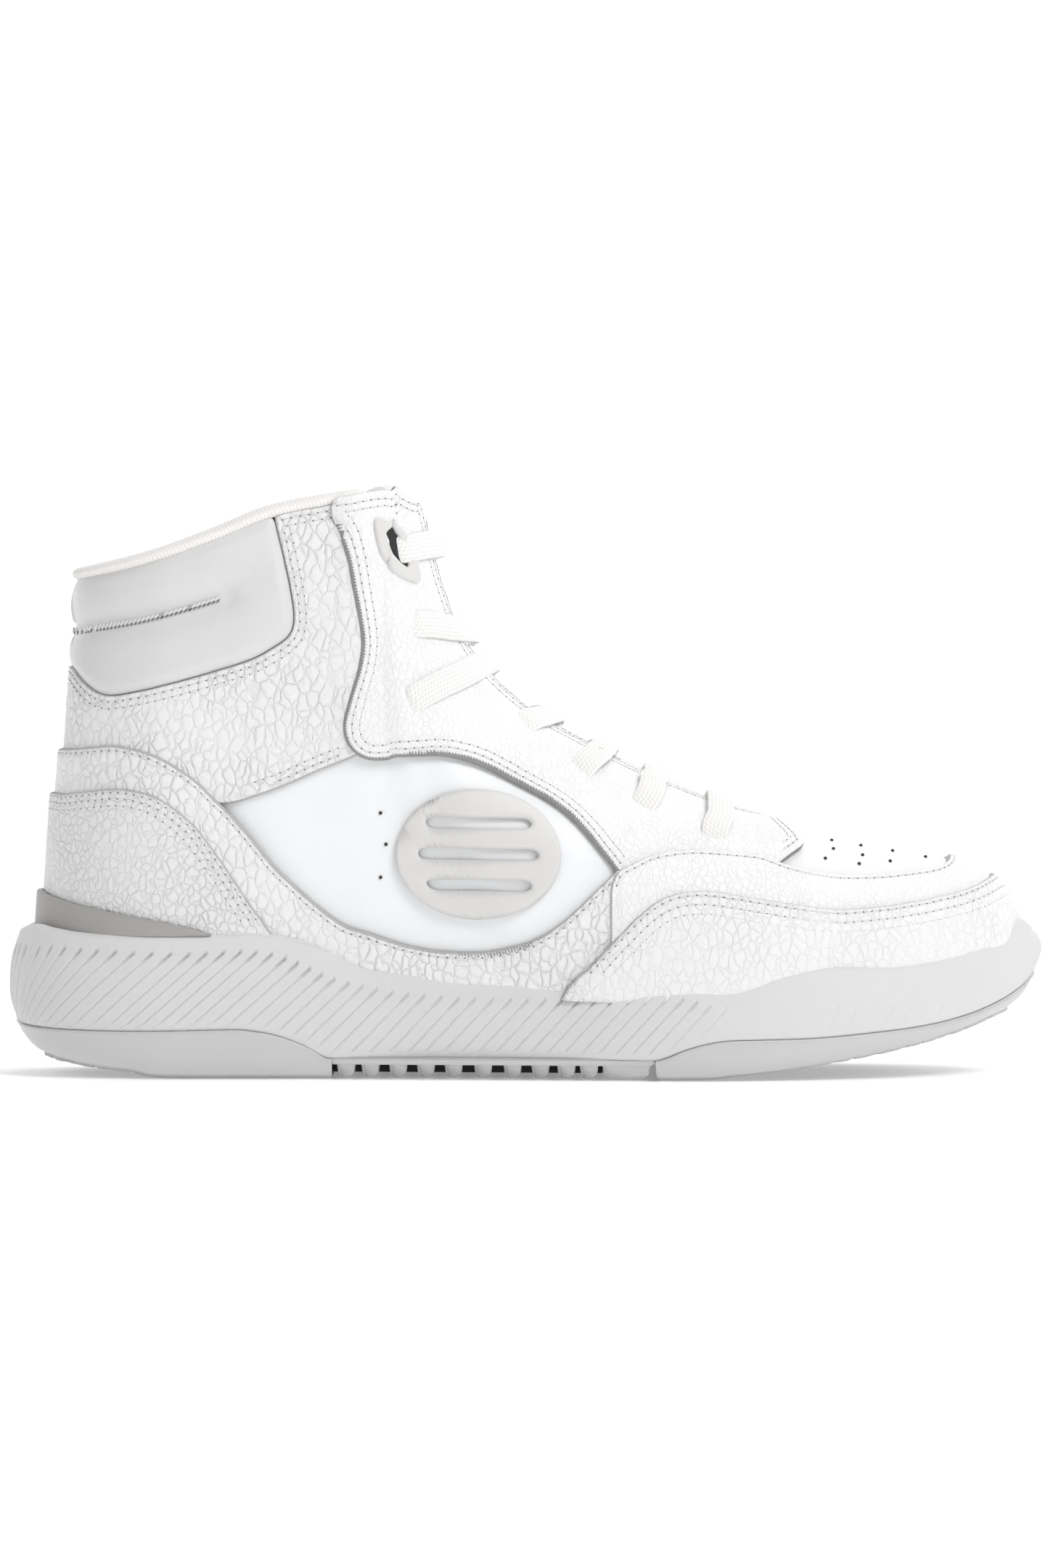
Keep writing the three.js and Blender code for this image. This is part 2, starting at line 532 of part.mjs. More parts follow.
const HEEL_SPLIT = [
  [-151, 17], [-146, 15], [-130, 14.1], [-110, 14], [-85, 14.5], [-75, 13.5], [-65, 10.3], [-58, 6.3], [-55, 1.4],
];
const TOE_SPLIT = [
  [36.5, 1.4], [38, 6.2], [44, 8.5], [52, 10.9], [60, 11.9], [80, 12.3], [100, 13.8], [120, 16.3], [135, 20.5],
  [145, 25.8], [150.3, 31.5],
];
const heelZone = (rise) => {
  const edge = HEEL_SPLIT.map(([x, z]) => [x + rise, z + rise]);
  return sidePrism([[-160, -5], [-55 + rise, -5], ...edge.reverse(), [-160, 17 + rise]]);
};
const toeZone = (rise) => {
  const edge = TOE_SPLIT.map(([x, z]) => [x - rise, z + rise]);
  return sidePrism([[36.5 - rise, -5], [160, -5], [160, 33 + rise], ...edge.reverse()]);
};
add("outsole_heel", sole.intersect(heelZone(0)).subtract(soleCore), RUBBER);
add("outsole_forefoot", sole.intersect(toeZone(0)).subtract(soleCore), RUBBER);

// Tread under the waist: a thin plate with a row of lugs and one long block.
const WAIST = [-54, 36];
const PLATE = [3.8, 5.9];
const LUG_PITCH = 8;
const LUG_WIDTH = 4.6;
const LONG_BLOCK = [21.5, 36];
const lugs = [[WAIST[0], PLATE[1]]];
for (let x = WAIST[0]; x + LUG_WIDTH < LONG_BLOCK[0] - 2; x += LUG_PITCH)
  lugs.push([x, 0], [x + LUG_WIDTH, 0], [x + LUG_WIDTH + 0.6, PLATE[0]], [x + LUG_PITCH - 0.4, PLATE[0]]);
lugs.push([LONG_BLOCK[0], 0], [LONG_BLOCK[1], 0], [LONG_BLOCK[1], PLATE[1]]);
const treadWalls = closedGrid(soleGrid(0.4, -1, 0), 0);
add("outsole_shank_tread", treadWalls.intersect(sidePrism(lugs)), RUBBER);

// Midsole: all that is left of the sole, with the upper's seat, the foam core's pocket and the shank's slot.
const waistZone = sidePrism([[-70, -5], [50, -5], [50, PLATE[1] + GAP], [-70, PLATE[1] + GAP]]);
const rubberZones = heelZone(GAP).add(toeZone(GAP)).subtract(soleCoreLoose);
const CORE = { from: -128, to: -66, low: 13, inset: 13 };
const coreZone = (slack, above) =>
  closedGrid(soleGrid(CORE.inset - slack, 0, 20), 0).intersect(
    sidePrism([
      [CORE.from - slack, CORE.low - slack], [CORE.to + slack, CORE.low - slack],
      ...along(featherLine, CORE.to + slack, CORE.from - slack, 12, above),
    ]),
  );
const SHANK = { from: -60, to: 24, halfWidth: 12, low: -3.6, high: -1.2 };
const shankZone = (slack, high) =>
  floorBand(SHANK.from - slack, SHANK.to + slack, SHANK.low - slack, high).intersect(
    planPrism(
      [[-70, -1], [40, -1], [40, 1], [-70, 1]].map(([x, side]) => [x, side * (SHANK.halfWidth + slack)]),
      0,
      60,
    ),
  );
const seat = body(CAVITY);
const midsole = sole
  .subtract(rubberZones)
  .subtract(waistZone)
  .subtract(seat)
  .subtract(coreZone(GAP, 4))
  .subtract(shankZone(GAP, 4));
add("midsole", midsole, MIDSOLE);
add("midsole_core", coreZone(0, -GAP), FOAM);
add("shank_plate", shankZone(0, SHANK.high), GREY_PLASTIC);
add("heel_clip", shell(LAYER.clip).intersect(sidePrism(clipOutline)), CLIP_PLASTIC);

export default shoe;
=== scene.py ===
# %% [markdown]
# A white leather basketball high top, a right shoe, rebuilt as its maker would list it: a lasted upper made
# of stitched panels, a padded collar, a laced throat with a stuffed tongue, and a moulded cupped sole.
# The design model gives the frame: sizes, bodies and joints. This script only makes what the eye sees.
# Lengths are written in millimetres, as in a shoe drawing, and turned into metres when a mesh is made.

# %% Load the frame
import math

import bmesh
import bpy
import numpy as np
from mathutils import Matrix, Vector
from mathutils.geometry import delaunay_2d_cdt


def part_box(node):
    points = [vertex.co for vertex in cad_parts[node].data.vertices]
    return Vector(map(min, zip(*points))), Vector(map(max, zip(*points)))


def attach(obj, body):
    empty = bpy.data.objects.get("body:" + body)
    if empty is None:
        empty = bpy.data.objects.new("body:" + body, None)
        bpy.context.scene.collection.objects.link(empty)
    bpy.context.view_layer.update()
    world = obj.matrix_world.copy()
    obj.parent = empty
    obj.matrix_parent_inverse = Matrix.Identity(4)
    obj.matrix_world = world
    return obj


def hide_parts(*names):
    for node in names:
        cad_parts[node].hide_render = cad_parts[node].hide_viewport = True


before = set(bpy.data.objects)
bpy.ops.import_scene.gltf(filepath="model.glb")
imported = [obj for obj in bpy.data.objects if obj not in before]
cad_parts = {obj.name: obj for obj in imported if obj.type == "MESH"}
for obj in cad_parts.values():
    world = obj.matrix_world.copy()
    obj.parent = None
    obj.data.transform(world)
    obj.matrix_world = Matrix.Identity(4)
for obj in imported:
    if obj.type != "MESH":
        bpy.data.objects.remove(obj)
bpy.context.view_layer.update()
MM = 0.001
HALF_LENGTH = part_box("midsole")[1].x / MM
SHOE_WIDTH = (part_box("midsole")[1].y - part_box("midsole")[0].y) / MM
print("sole", round(2 * HALF_LENGTH, 1), "mm long and", round(SHOE_WIDTH, 1), "mm wide")

# %% [markdown]
# Shader maths reads best as plain expressions. The class below wraps a socket, so that `1 - mask * 0.5`
# adds the Math nodes that say the same. Colours and vectors go through Mix and Vector Math instead.

# %% Sockets that can be added and multiplied


class Wire:
    """A node's output that takes part in expressions."""

    def __init__(self, sheet, socket):
        self.sheet = sheet
        self.socket = socket

    def _math(self, operation, *values, clamp=False):
        return self.sheet.node("ShaderNodeMath", {"operation": operation, "use_clamp": clamp}, values)

    def __add__(self, other):
        return self._math("ADD", self, other)

    def __radd__(self, other):
        return self._math("ADD", other, self)

    def __sub__(self, other):
        return self._math("SUBTRACT", self, other)

    def __rsub__(self, other):
        return self._math("SUBTRACT", other, self)

    def __mul__(self, other):
        return self._math("MULTIPLY", self, other)

    def __rmul__(self, other):
        return self._math("MULTIPLY", other, self)

    def __truediv__(self, other):
        return self._math("DIVIDE", self, other)

    def __rtruediv__(self, other):
        return self._math("DIVIDE", other, self)

    def __pow__(self, other):
        return self._math("POWER", self, other)

    def sine(self):
        return self._math("SINE", self)

    def absolute(self):
        return self._math("ABSOLUTE", self)

    def clamped(self):
        return self._math("ADD", self, 0.0, clamp=True)


class Sheet:
    """A material's node tree."""

    def __init__(self, name):
        self.material = bpy.data.materials.new(name)
        self.material.use_nodes = True
        self.tree = self.material.node_tree
        self.shader = self.tree.nodes["Principled BSDF"]
        place = self.tree.nodes.new("ShaderNodeTexCoord")
        self.place = Wire(self, place.outputs["Object"])
        self.uv = Wire(self, place.outputs["UV"])

    def node(self, kind, settings=None, values=(), output=0):
        made = self.tree.nodes.new(kind)
        for key, value in (settings or {}).items():
            setattr(made, key, value)
        pairs = values.items() if isinstance(values, dict) else enumerate(values)
        for key, value in pairs:
            if isinstance(value, Wire):
                self.tree.links.new(value.socket, made.inputs[key])
            else:
                made.inputs[key].default_value = value
        return Wire(self, made.outputs[output])

    def split(self, vector):
        made = self.node("ShaderNodeSeparateXYZ", None, [vector])
        outputs = made.socket.node.outputs
        return [Wire(self, outputs[k]) for k in range(3)]

    def noise(self, scale, detail=3.0, rough=0.5, place=None):
        values = {"Vector": place or self.place, "Scale": scale, "Detail": detail, "Roughness": rough}
        return self.node("ShaderNodeTexNoise", None, values)

    def cells(self, scale, feature="DISTANCE_TO_EDGE", place=None, output="Distance"):
        values = {"Vector": place or self.place, "Scale": scale, "Randomness": 0.9}
        return self.node("ShaderNodeTexVoronoi", {"feature": feature}, values, output)

    def mixed(self, factor, first, second):
        values = {0: factor, 6: first, 7: second}
        return self.node("ShaderNodeMix", {"data_type": "RGBA"}, values, 2)

    def stretched(self, scale, turn=(0, 0, 0)):
        values = {"Vector": self.place, "Scale": scale, "Rotation": turn}
        return self.node("ShaderNodeMapping", None, values)

    def bump(self, height, distance, strength=1.0, under=None):
        values = {"Height": height, "Distance": distance, "Strength": strength}
        if under is not None:
            values["Normal"] = under
        return self.node("ShaderNodeBump", None, values)

    def finish(self, color, rough, normal=None, **constants):
        for key, value in {"Base Color": color, "Roughness": rough, "Normal": normal}.items():
            if isinstance(value, Wire):
                self.tree.links.new(value.socket, self.shader.inputs[key])
            elif value is not None:
                self.shader.inputs[key].default_value = value
        for key, value in constants.items():
            socket = key.replace("_", " ").title().replace("Ior", "IOR")
            self.shader.inputs[socket].default_value = value
        return self.material


def linear(grey, warm=0.0):
    """An sRGB grey from 0 to 255, as a linear colour, with a touch of warmth (or cold, below 0)."""
    level = (grey / 255) ** 2.2
    return (level * (1 + warm), level, level * (1 - warm), 1)

# %% [markdown]
# The overlays are tumbled leather: the hide is drummed until its grain stands up in rounded pebbles with
# fine creases between them. Voronoi cells give the pebbles, and distance to the cell's edge gives the crease,
# which is also painted a little darker as painted shade.
# The cells are warped by noise so that no two pebbles match, and a second, larger set makes the long folds.

# %% Leathers


def pebbled_leather(name, grey, pebble=2.6, depth=0.35, warm=0.0, long=1.5):
    """Pebbles of one size, drawn out `long` times along a slanting direction, with narrow creases between."""
    sheet = Sheet(name)
    turned = sheet.stretched((1.0, 1.0, 1.0 / long), (0, math.radians(-38), 0))
    warp = sheet.node("ShaderNodeTexNoise", None, {"Vector": sheet.place, "Scale": 190.0, "Detail": 3.0}, 1)
    pushed = sheet.node("ShaderNodeMix", {"data_type": "VECTOR"}, {0: 0.0035, 4: turned, 5: warp}, 1)
    edge = sheet.cells(1000 / pebble, place=pushed)
    fine_edge = sheet.cells(2300 / pebble, place=pushed)
    patches = sheet.noise(48.0, 3.0)
    relief = (patches * 2.4 - 0.7).clamped() * 0.6 + 0.4
    slack = 1 - (edge * 2.6).clamped()
    dome = 1 - slack * slack
    crease = (edge * 12.0).clamped()
    height = (dome * 0.85 + crease * 0.15 + (fine_edge * 4.0).clamped() * 0.06) * relief
    fine = sheet.noise(2600.0, 2.0)
    grain = sheet.bump(height, depth * MM, 0.9)
    skin = sheet.bump(fine, 0.04 * MM, 0.5, grain)
    # The creases are painted a little darker, as painted shade; the patches vary how much at random.
    crease_shade = (1 - crease) * relief
    tone = sheet.mixed(crease_shade * 0.28, linear(grey, warm), linear(grey * 0.86, warm + 0.01))
    return sheet.finish(tone, 0.44 + patches * 0.14, skin, specular_ior_level=0.42)


def smooth_leather(name, grey, warm=0.0, rough=0.38, creases=0.06):
    sheet = Sheet(name)
    fine = sheet.noise(1900.0, 3.0)
    broad = sheet.noise(30.0, 2.0)
    pores = sheet.cells(1700.0, "F1")
    skin = sheet.bump(fine * 0.6 + pores * 0.5, creases * MM, 0.6)
    tone = sheet.mixed(broad, linear(grey, warm), linear(grey * 0.975, warm))
    return sheet.finish(tone, rough + fine * 0.08, skin, specular_ior_level=0.45)


def raw_edge(name, dark, light):
    """The cut side of a hide: grey, fibrous and quite matt."""
    sheet = Sheet(name)
    fibre = sheet.noise(2400.0, 4.0, 0.7)
    tone = sheet.mixed(fibre, linear(dark, 0.02), linear(light, 0.01))
    return sheet.finish(tone, 0.92, sheet.bump(fibre, 0.25 * MM), specular_ior_level=0.2)


LEATHER = pebbled_leather("pebbled_leather", 240, pebble=2.9, depth=0.58)
HEEL_LEATHER = pebbled_leather("heel_leather", 234, pebble=2.3, depth=0.44, long=1.25)
GUARD_LEATHER = pebbled_leather("mudguard_leather", 239, pebble=2.6, depth=0.34)
FINE_LEATHER = pebbled_leather("fine_pebbled_leather", 244, pebble=1.7, depth=0.20)
WINDOW_LEATHER = smooth_leather("window_leather", 250, warm=-0.012, rough=0.33)
PAD_LEATHER = smooth_leather("collar_leather", 226, warm=0.004, rough=0.36)
TOE_LEATHER = smooth_leather("toe_box_leather", 246, rough=0.42)
RAW_EDGE = raw_edge("cut_leather_edge", 118, 190)
CUT_EDGE = raw_edge("trimmed_leather_edge", 160, 218)
print(len(bpy.data.materials), "leathers")

# %% [markdown]
# Textiles: flat woven laces, a ribbed knit for the bound edges, and a brushed cloth inside. Their weave is
# laid along the piece's own UV map, so it bends with the lace, and the yarns are sine waves, which stay
# crisp at any size.

# %% Textiles


def woven(name, grey, across, along, depth=0.12, warm=0.012):
    """A weave with so many yarns across and along the UV map, for laces and knitted bands."""
    sheet = Sheet(name)
    u, v, _ = sheet.split(sheet.uv)
    warp = (u * (math.pi * across)).sine().absolute()
    weft = (v * (math.pi * along) + u * (math.pi * across / 2)).sine().absolute()
    cloth = warp * 0.6 + weft * 0.6
    fuzz = sheet.noise(3000.0, 3.0)
    # Between the yarns the colour is painted darker, as painted shade.
    tone = sheet.mixed((1.0 - cloth * 0.8).clamped() * 0.5, linear(grey, warm), linear(grey * 0.8, warm))
    height = sheet.bump(cloth + fuzz * 0.3, depth * MM, 0.9)
    return sheet.finish(tone, 0.85, height, specular_ior_level=0.25, sheen_weight=0.25)


def brushed_cloth(name, grey, warm=0.01):
    sheet = Sheet(name)
    x, y, z = sheet.split(sheet.place)
    knit = ((x + z) * 4200.0).sine() * ((x - z + y) * 4200.0).sine()
    fuzz = sheet.noise(2500.0, 4.0, 0.7)
    tone = sheet.mixed(fuzz, linear(grey, warm), linear(grey * 0.92, warm))
    return sheet.finish(tone, 0.92, sheet.bump(knit * 0.5 + fuzz, 0.12 * MM), specular_ior_level=0.2)


LACE = woven("lace_weave", 248, across=7, along=1.0)
KNIT = woven("ribbed_knit", 250, across=3, along=1.0, depth=0.2, warm=0.02)
THREAD = woven("stitching_thread", 250, across=1, along=2.0, depth=0.05)
LINING = brushed_cloth("lining_cloth", 232)
FOAM = brushed_cloth("cushion_foam", 222, 0.04)

# %% [markdown]
# Moulded parts: a foam midsole with the fine sparkle of a spark-eroded mould, a smoother rubber outsole that
# lets a little light in, and two plastics. The needle holes of the seams get a dark matt grey that is painted
# shade, and a darker grey is painted shade in other holes and gaps.

# %% Moulded materials


def moulded(name, grey, rough, grain_size, depth, warm=0.0, **more):
    sheet = Sheet(name)
    grain = sheet.noise(1000 / grain_size, 2.0, 0.6)
    broad = sheet.noise(24.0, 2.0)
    tone = sheet.mixed(broad, linear(grey, warm), linear(grey * 0.97, warm))
    return sheet.finish(tone, rough + grain * 0.1, sheet.bump(grain, depth * MM, 0.7), **more)


MIDSOLE = moulded("midsole_foam", 222, 0.62, 0.45, 0.10, specular_ior_level=0.35)
RUBBER = moulded("outsole_rubber", 206, 0.30, 0.9, 0.03, specular_ior_level=0.5, subsurface_weight=0.12)
RUBBER.node_tree.nodes["Principled BSDF"].inputs["Subsurface Radius"].default_value = (0.004, 0.004, 0.004)
TRIM = moulded("trim_plastic", 224, 0.40, 0.5, 0.03, warm=0.012, specular_ior_level=0.45)
CLIP = moulded("clip_plastic", 168, 0.45, 0.4, 0.04, warm=0.03, specular_ior_level=0.4)
BOARD = moulded("fibre_board", 190, 0.9, 0.8, 0.1, warm=0.12)
# A near-black grey, painted shade for the perforations, the lace loop's window and the gaps under the waist.
HOLE_SHADE = moulded("hole_painted_shade", 60, 0.95, 0.5, 0.02, warm=0.02)
# A mid grey, painted shade for the needle holes of the seams and for the collar's sewn channel.
SEAM_SHADE = moulded("seam_painted_shade", 128, 0.95, 0.5, 0.02, warm=0.02)
print(len(bpy.data.materials), "materials")

# %% [markdown]
# The shape of an upper comes from the last it is pulled over. The last is drawn here as ribs, from the middle
# of the heel round to the middle of the toe, each with a foot, a bow and a top in side view and four half
# widths. A smooth surface runs through the ribs. A panel is then a region of that surface, at its own height.

# %% The last, as ribs
RIBS = """
-137.6 -134.3 88 -129.5 153 0 0 0 0           -131.5 -129 88 -124.5 154 17 18.5 17 16.5
-112 -110 90 -107 158 30 31.5 28.5 28         -84 -86 94 -84 167 32.5 34 31.5 32.5
-55 -66 98 -62 180 33 35.5 32 31              -40 -58.2 100.6 -51 184.6 34.3 36.5 31.7 26.5
-24 -53 105 -40 188 36 37.5 33.5 27           -15 -50 106 -36 188 37 40 38 32
0 -44 96 -27 150 39 41 37 32                  12 -28 80 -18.5 127 41.5 44 38 32
23 -4 72 -3 108.5 43.5 46 39 33               36 18 66 15 96.5 45.2 47 40 34
49 42 56 40 84.5 46.2 48.5 43 38              65 60 51 60 76 46 48.5 46 44
85 82 48 80 70.8 43 45.5 45 45                104 102 47 100 67.9 38.5 41 42 43
121 119 46 116 64.8 30.5 33 34 35             134 134 46 127 60.6 20 22.5 24 25
140.5 142 46.5 132 58 10.5 12 13 14           142.6 144.3 47 133.5 57.2 0 0 0 0
"""
RIBS = np.array(RIBS.split(), float).reshape(-1, 9)
LAST_RIB = len(RIBS) - 1
MIRROR = np.array([1, 1, 1, 1, 1, -1, -1, -1, -1])
ALL_RIBS = np.vstack([RIBS[1] * MIRROR, RIBS, RIBS[-2] * MIRROR])
RIDGE_ROUNDING = 0.75
OPEN_UNTIL = 5.0  # the rib where the shaft is still open at the top
CLOSED_FROM = 7.0  # the rib from which the two sides meet on the ridge


def between(a, b, c, d, t):
    """A smooth curve from b to c, with a and d as the neighbours."""
    bend = (2 * a - 5 * b + 4 * c - d) * t**2 + (3 * b - a - 3 * c + d) * t**3
    return 0.5 * (2 * b + (c - a) * t + bend)


def spline(points, steps=8):
    p = np.array(points, float)
    p = np.vstack([p[:1], p, p[-1:]])
    t = (np.arange(steps) / steps)[:, None]
    return np.vstack([*(between(*p[i : i + 4], t) for i in range(len(p) - 3)), p[-1:]])


def curve(text, steps=8):
    return spline(np.array(text.split(), float).reshape(-1, 2), steps)


def height_curve(text):
    fine = curve(text)
    return lambda x: np.interp(x, fine[:, 0], fine[:, 1])


feather_line = height_curve("-138 34 -100 33 -70 29 -40 23 0 20.5 40 19.5 70 20 100 23 125 26.5 143 30")
collar_edge = height_curve("-150 144 -133 146.3 -110 151.5 -90 158.5 -75 164.6 -60 167.8 -43 170 -20 170")
print(len(RIBS), "ribs")

# %% [markdown]
# `upper` gives the surface: `q` counts ribs from the heel, `w` runs from the sole (0) to the top or the ridge
# (1). Past the heel, the toe or the ridge the surface goes on as its own mirror image, so the normals there
# lie exactly in the middle plane, and two mirrored halves meet without a crease.

# %% The surface of the upper


def upper(q, w):
    q, w = np.broadcast_arrays(np.asarray(q, float), np.asarray(w, float))
    side = np.where((w > 1) ^ (q < 0) ^ (q > LAST_RIB), 1.0, -1.0)
    w = np.where(w > 1, 2 - w, w)
    q = np.where(q > LAST_RIB, 2 * LAST_RIB - q, np.abs(q))
    k = np.clip(q.astype(int), 0, LAST_RIB - 1)
    rib = between(*(ALL_RIBS[k + n] for n in range(4)), (q - k)[..., None])
    foot_x, bow_x, bow_z, top_x, top_z, w0, w1, w2, w3 = np.moveaxis(rib, -1, 0)
    closed = np.clip((q - OPEN_UNTIL) / (CLOSED_FROM - OPEN_UNTIL), 0, 1)
    closed = closed * closed * (3 - 2 * closed)
    angle = w * math.pi / 2
    t = np.sin(angle)
    keys = np.stack([w0 - (w1 - w0) / 2, w0, w1, w2, w3, w3 + (w3 - w2) / 2], -1)
    step = np.clip((w * 3).astype(int), 0, 2)
    near = [np.take_along_axis(keys, (step + n)[..., None], -1)[..., 0] for n in range(4)]
    width = between(*near, w * 3 - step)
    width = np.maximum(0, width * (1 - closed + closed * np.maximum(0, np.cos(angle)) ** RIDGE_ROUNDING))
    x = (1 - t) ** 2 * foot_x + 2 * t * (1 - t) * bow_x + t * t * top_x
    z = (1 - t) ** 2 * feather_line(foot_x) + 2 * t * (1 - t) * bow_z + t * t * top_z
    return np.stack([x, side * width, z], -1)


def slopes(q, w):
    """How the surface moves with q and with w, and its outward normal."""
    dq = (upper(np.add(q, 0.02), w) - upper(np.subtract(q, 0.02), w)) / 0.04
    dw = (upper(q, np.add(w, 0.004)) - upper(q, np.subtract(w, 0.004))) / 0.008
    normal = np.cross(dq, dw)
    normal /= np.maximum(np.linalg.norm(normal, axis=-1, keepdims=True), 1e-9)
    return dq, dw, normal


def skin(q, w, height=0.0):
    return upper(q, w) + slopes(q, w)[2] * np.asarray(height, float)[..., None]


def march(q, w, step):
    """Moves points over the surface by small 3-D steps."""
    dq, dw, _ = slopes(q, w)
    a, b, c = (dq * dq).sum(-1), (dq * dw).sum(-1), (dw * dw).sum(-1)
    e, f = (dq * step).sum(-1), (dw * step).sum(-1)
    det = np.maximum(a * c - b * b, 1e-6)
    return q + (c * e - b * f) / det, w + (a * f - b * e) / det


def centre_line(x):
    """The toe swings a little to the inner side, and the whole shoe is moved back to its box's middle."""
    return 8 * (np.maximum(0, np.asarray(x) + 20) / 171.2) ** 2 - SIDE_SHIFT


SOLE_PLAN = curve(
    "-151.2 0 -149.3 13 -143 25 -130 34.5 -110 40.5 -85 41.5 -55 40.5 -25 41 5 45.5 30 51 52 54 75 53"
    " 98 48.5 118 40.5 134 29 145 16 150 8 151.2 0",
    24,
)
SIDE_SHIFT = 0.0
swing = centre_line(SOLE_PLAN[:, 0])
SIDE_SHIFT = ((SOLE_PLAN[:, 1] + swing).max() - (SOLE_PLAN[:, 1] - swing).max()) / 2
print("side shift", round(SIDE_SHIFT, 2), "mm")

# %% [markdown]
# A grid over the surface, about 1.4 mm fine, is used to find where an outline drawn in side view lands on
# the curved surface. Each panel's outline is traced on it as a ring of (q, w) points.

# %% Tracing outlines on the surface
fine_q = np.linspace(0, LAST_RIB, 800)
run = np.r_[0, np.cumsum(np.linalg.norm(np.diff(upper(fine_q, 0.45), axis=0), axis=1))]
GRID_Q = np.interp(np.linspace(0, run[-1], int(run[-1] / 1.4)), run, fine_q)
GRID_W = 1 - (1 - np.linspace(0.01, 1, 120)) ** 1.15 * 0.99
GRID = upper(GRID_Q[:, None], GRID_W[None, :])
GRID_NORMAL = slopes(GRID_Q[:, None], GRID_W[None, :])[2]
RIB_LENGTH = np.linalg.norm(np.diff(GRID, axis=1), axis=2).sum(1)


def flat_map(q, w):
    """Where a point of the surface lies on a flat sheet, roughly to scale."""
    return np.stack([np.interp(q, fine_q, run), w * np.interp(q, GRID_Q, RIB_LENGTH)], -1)


def inside(points, outline):
    """Signed distance from points (x, z) to a closed outline, positive inside."""
    a = np.asarray(outline, float)
    b = np.roll(a, -1, axis=0)
    flat = points.reshape(-1, 2)
    best = np.full(len(flat), 1e9)
    odd = np.zeros(len(flat), bool)
    for p, q in zip(a, b):
        along = q - p
        t = np.clip(((flat - p) @ along) / max(along @ along, 1e-12), 0, 1)
        best = np.minimum(best, np.linalg.norm(flat - p - t[:, None] * along, axis=1))
        if p[1] != q[1]:
            crosses = (p[1] > flat[:, 1]) != (q[1] > flat[:, 1])
            odd ^= crosses & (flat[:, 0] < p[0] + (flat[:, 1] - p[1]) * along[0] / along[1])
    return np.where(odd, best, -best).reshape(points.shape[:-1])


def rings(field):
    """Closed (q, w) rings round the part of the grid where field > 0, with a flag for real edges."""
    borders, places = set(), {}
    live = field > 0
    touched = live[:-1, :-1] | live[1:, :-1] | live[1:, 1:] | live[:-1, 1:]
    for i, j in np.argwhere(touched).tolist():
        corners = [(i, j), (i + 1, j), (i + 1, j + 1), (i, j + 1)]
        ring = []
        for a, b in zip(corners, corners[1:] + corners[:1]):
            if live[a]:
                ring.append(a)
                places.setdefault(a, (GRID_Q[a[0]], GRID_W[a[1]], 0))
            if live[a] != live[b]:
                low, high = min(a, b), max(a, b)
                t = field[low] / (field[low] - field[high])
                q = GRID_Q[low[0]] * (1 - t) + GRID_Q[high[0]] * t
                w = GRID_W[low[1]] * (1 - t) + GRID_W[high[1]] * t
                ring.append((low, high))
                places[(low, high)] = (q, w, 1)
        for a, b in zip(ring, ring[1:] + ring[:1]):
            if (b, a) in borders:
                borders.remove((b, a))
            else:
                borders.add((a, b))
    follow = dict(sorted(borders, key=str))
    found = []
    while follow:
        start, spot = next(iter(follow.items()))
        ring = [start]
        del follow[start]
        while spot != start and spot in follow:
            ring.append(spot)
            spot = follow.pop(spot)
        found.append(np.array([places[key] for key in ring]))
    return sorted((ring for ring in found if len(ring) > 24), key=len, reverse=True)


print("surface grid", GRID.shape[:2])

# %% [markdown]
# A stitched panel is cut from hide about 1.4 mm thick. Its edge is either left raw, which shows the grey
# fibres, or skived and folded. Close to the edge the needle pulls the hide down, so each stitch row runs in
# a shallow groove and the leather puffs up a little on both sides of it. All of that is made as height here:
# rows of points follow the edge, closer together near it, and a plain grid fills the rest.

# %% Panels
MIDDLE = 0.02  # points this near the middle plane lie in it
EDGE_ROWS = [0.12, 0.35, 0.7, 1.15, 1.65, 2.2, 2.9, 3.7, 4.6, 5.6]
PITCH = 2.6  # from one stitch to the next
GROOVE_HALF = 0.55  # half the width of a stitch groove
PUFF = 0.10  # how far the hide stands up beside a groove
seams = []


def even(ring, spacing, height, closed=False):
    """Re-spaces a run of (q, w) points evenly, and takes the steps out of it."""
    q, w = ring[:, 0], ring[:, 1]
    if closed:
        q, w = np.r_[q, q[:1]], np.r_[w, w[:1]]
    length = np.r_[0, np.cumsum(np.linalg.norm(np.diff(skin(q, w, height), axis=0), axis=1))]
    at = np.linspace(0, length[-1], max(3, int(length[-1] / spacing) + 1))
    line = np.stack([np.interp(at, length, q), np.interp(at, length, w)], -1)
    for _ in range(4):
        if closed:
            line = line[:-1]
            line = (np.roll(line, 1, 0) + 2 * line + np.roll(line, -1, 0)) / 4
            line = np.vstack([line, line[:1]])
        else:
            line[1:-1] = (line[:-2] + 2 * line[1:-1] + line[2:]) / 4
    return line[:-1] if closed else line


def edge_frame(line, height, closed=False):
    """Tangent, surface normal and inward direction along an edge."""
    place = skin(line[:, 0], line[:, 1], height)
    if closed:
        tangent = np.roll(place, -1, 0) - np.roll(place, 1, 0)
    else:
        tangent = np.gradient(place, axis=0)
        for end in (0, -1):
            if abs(place[end, 1]) < 0.01:
                tangent[end] = [0, np.sign(tangent[end, 1]) or 1, 0]
    tangent /= np.maximum(np.linalg.norm(tangent, axis=1, keepdims=True), 1e-9)
    normal = slopes(line[:, 0], line[:, 1])[2]
    inward = np.cross(normal, tangent)
    return place, tangent, normal, inward


def moved_in(line, inward, distance):
    """The edge, moved over the surface towards the panel's middle."""
    q, w = line[:, 0], line[:, 1]
    parts = max(1, int(distance / 1.5))
    for _ in range(parts):
        q, w = march(q, w, inward * distance / parts)
    return np.clip(q, 0, LAST_RIB), np.clip(w, GRID_W[0], 1)


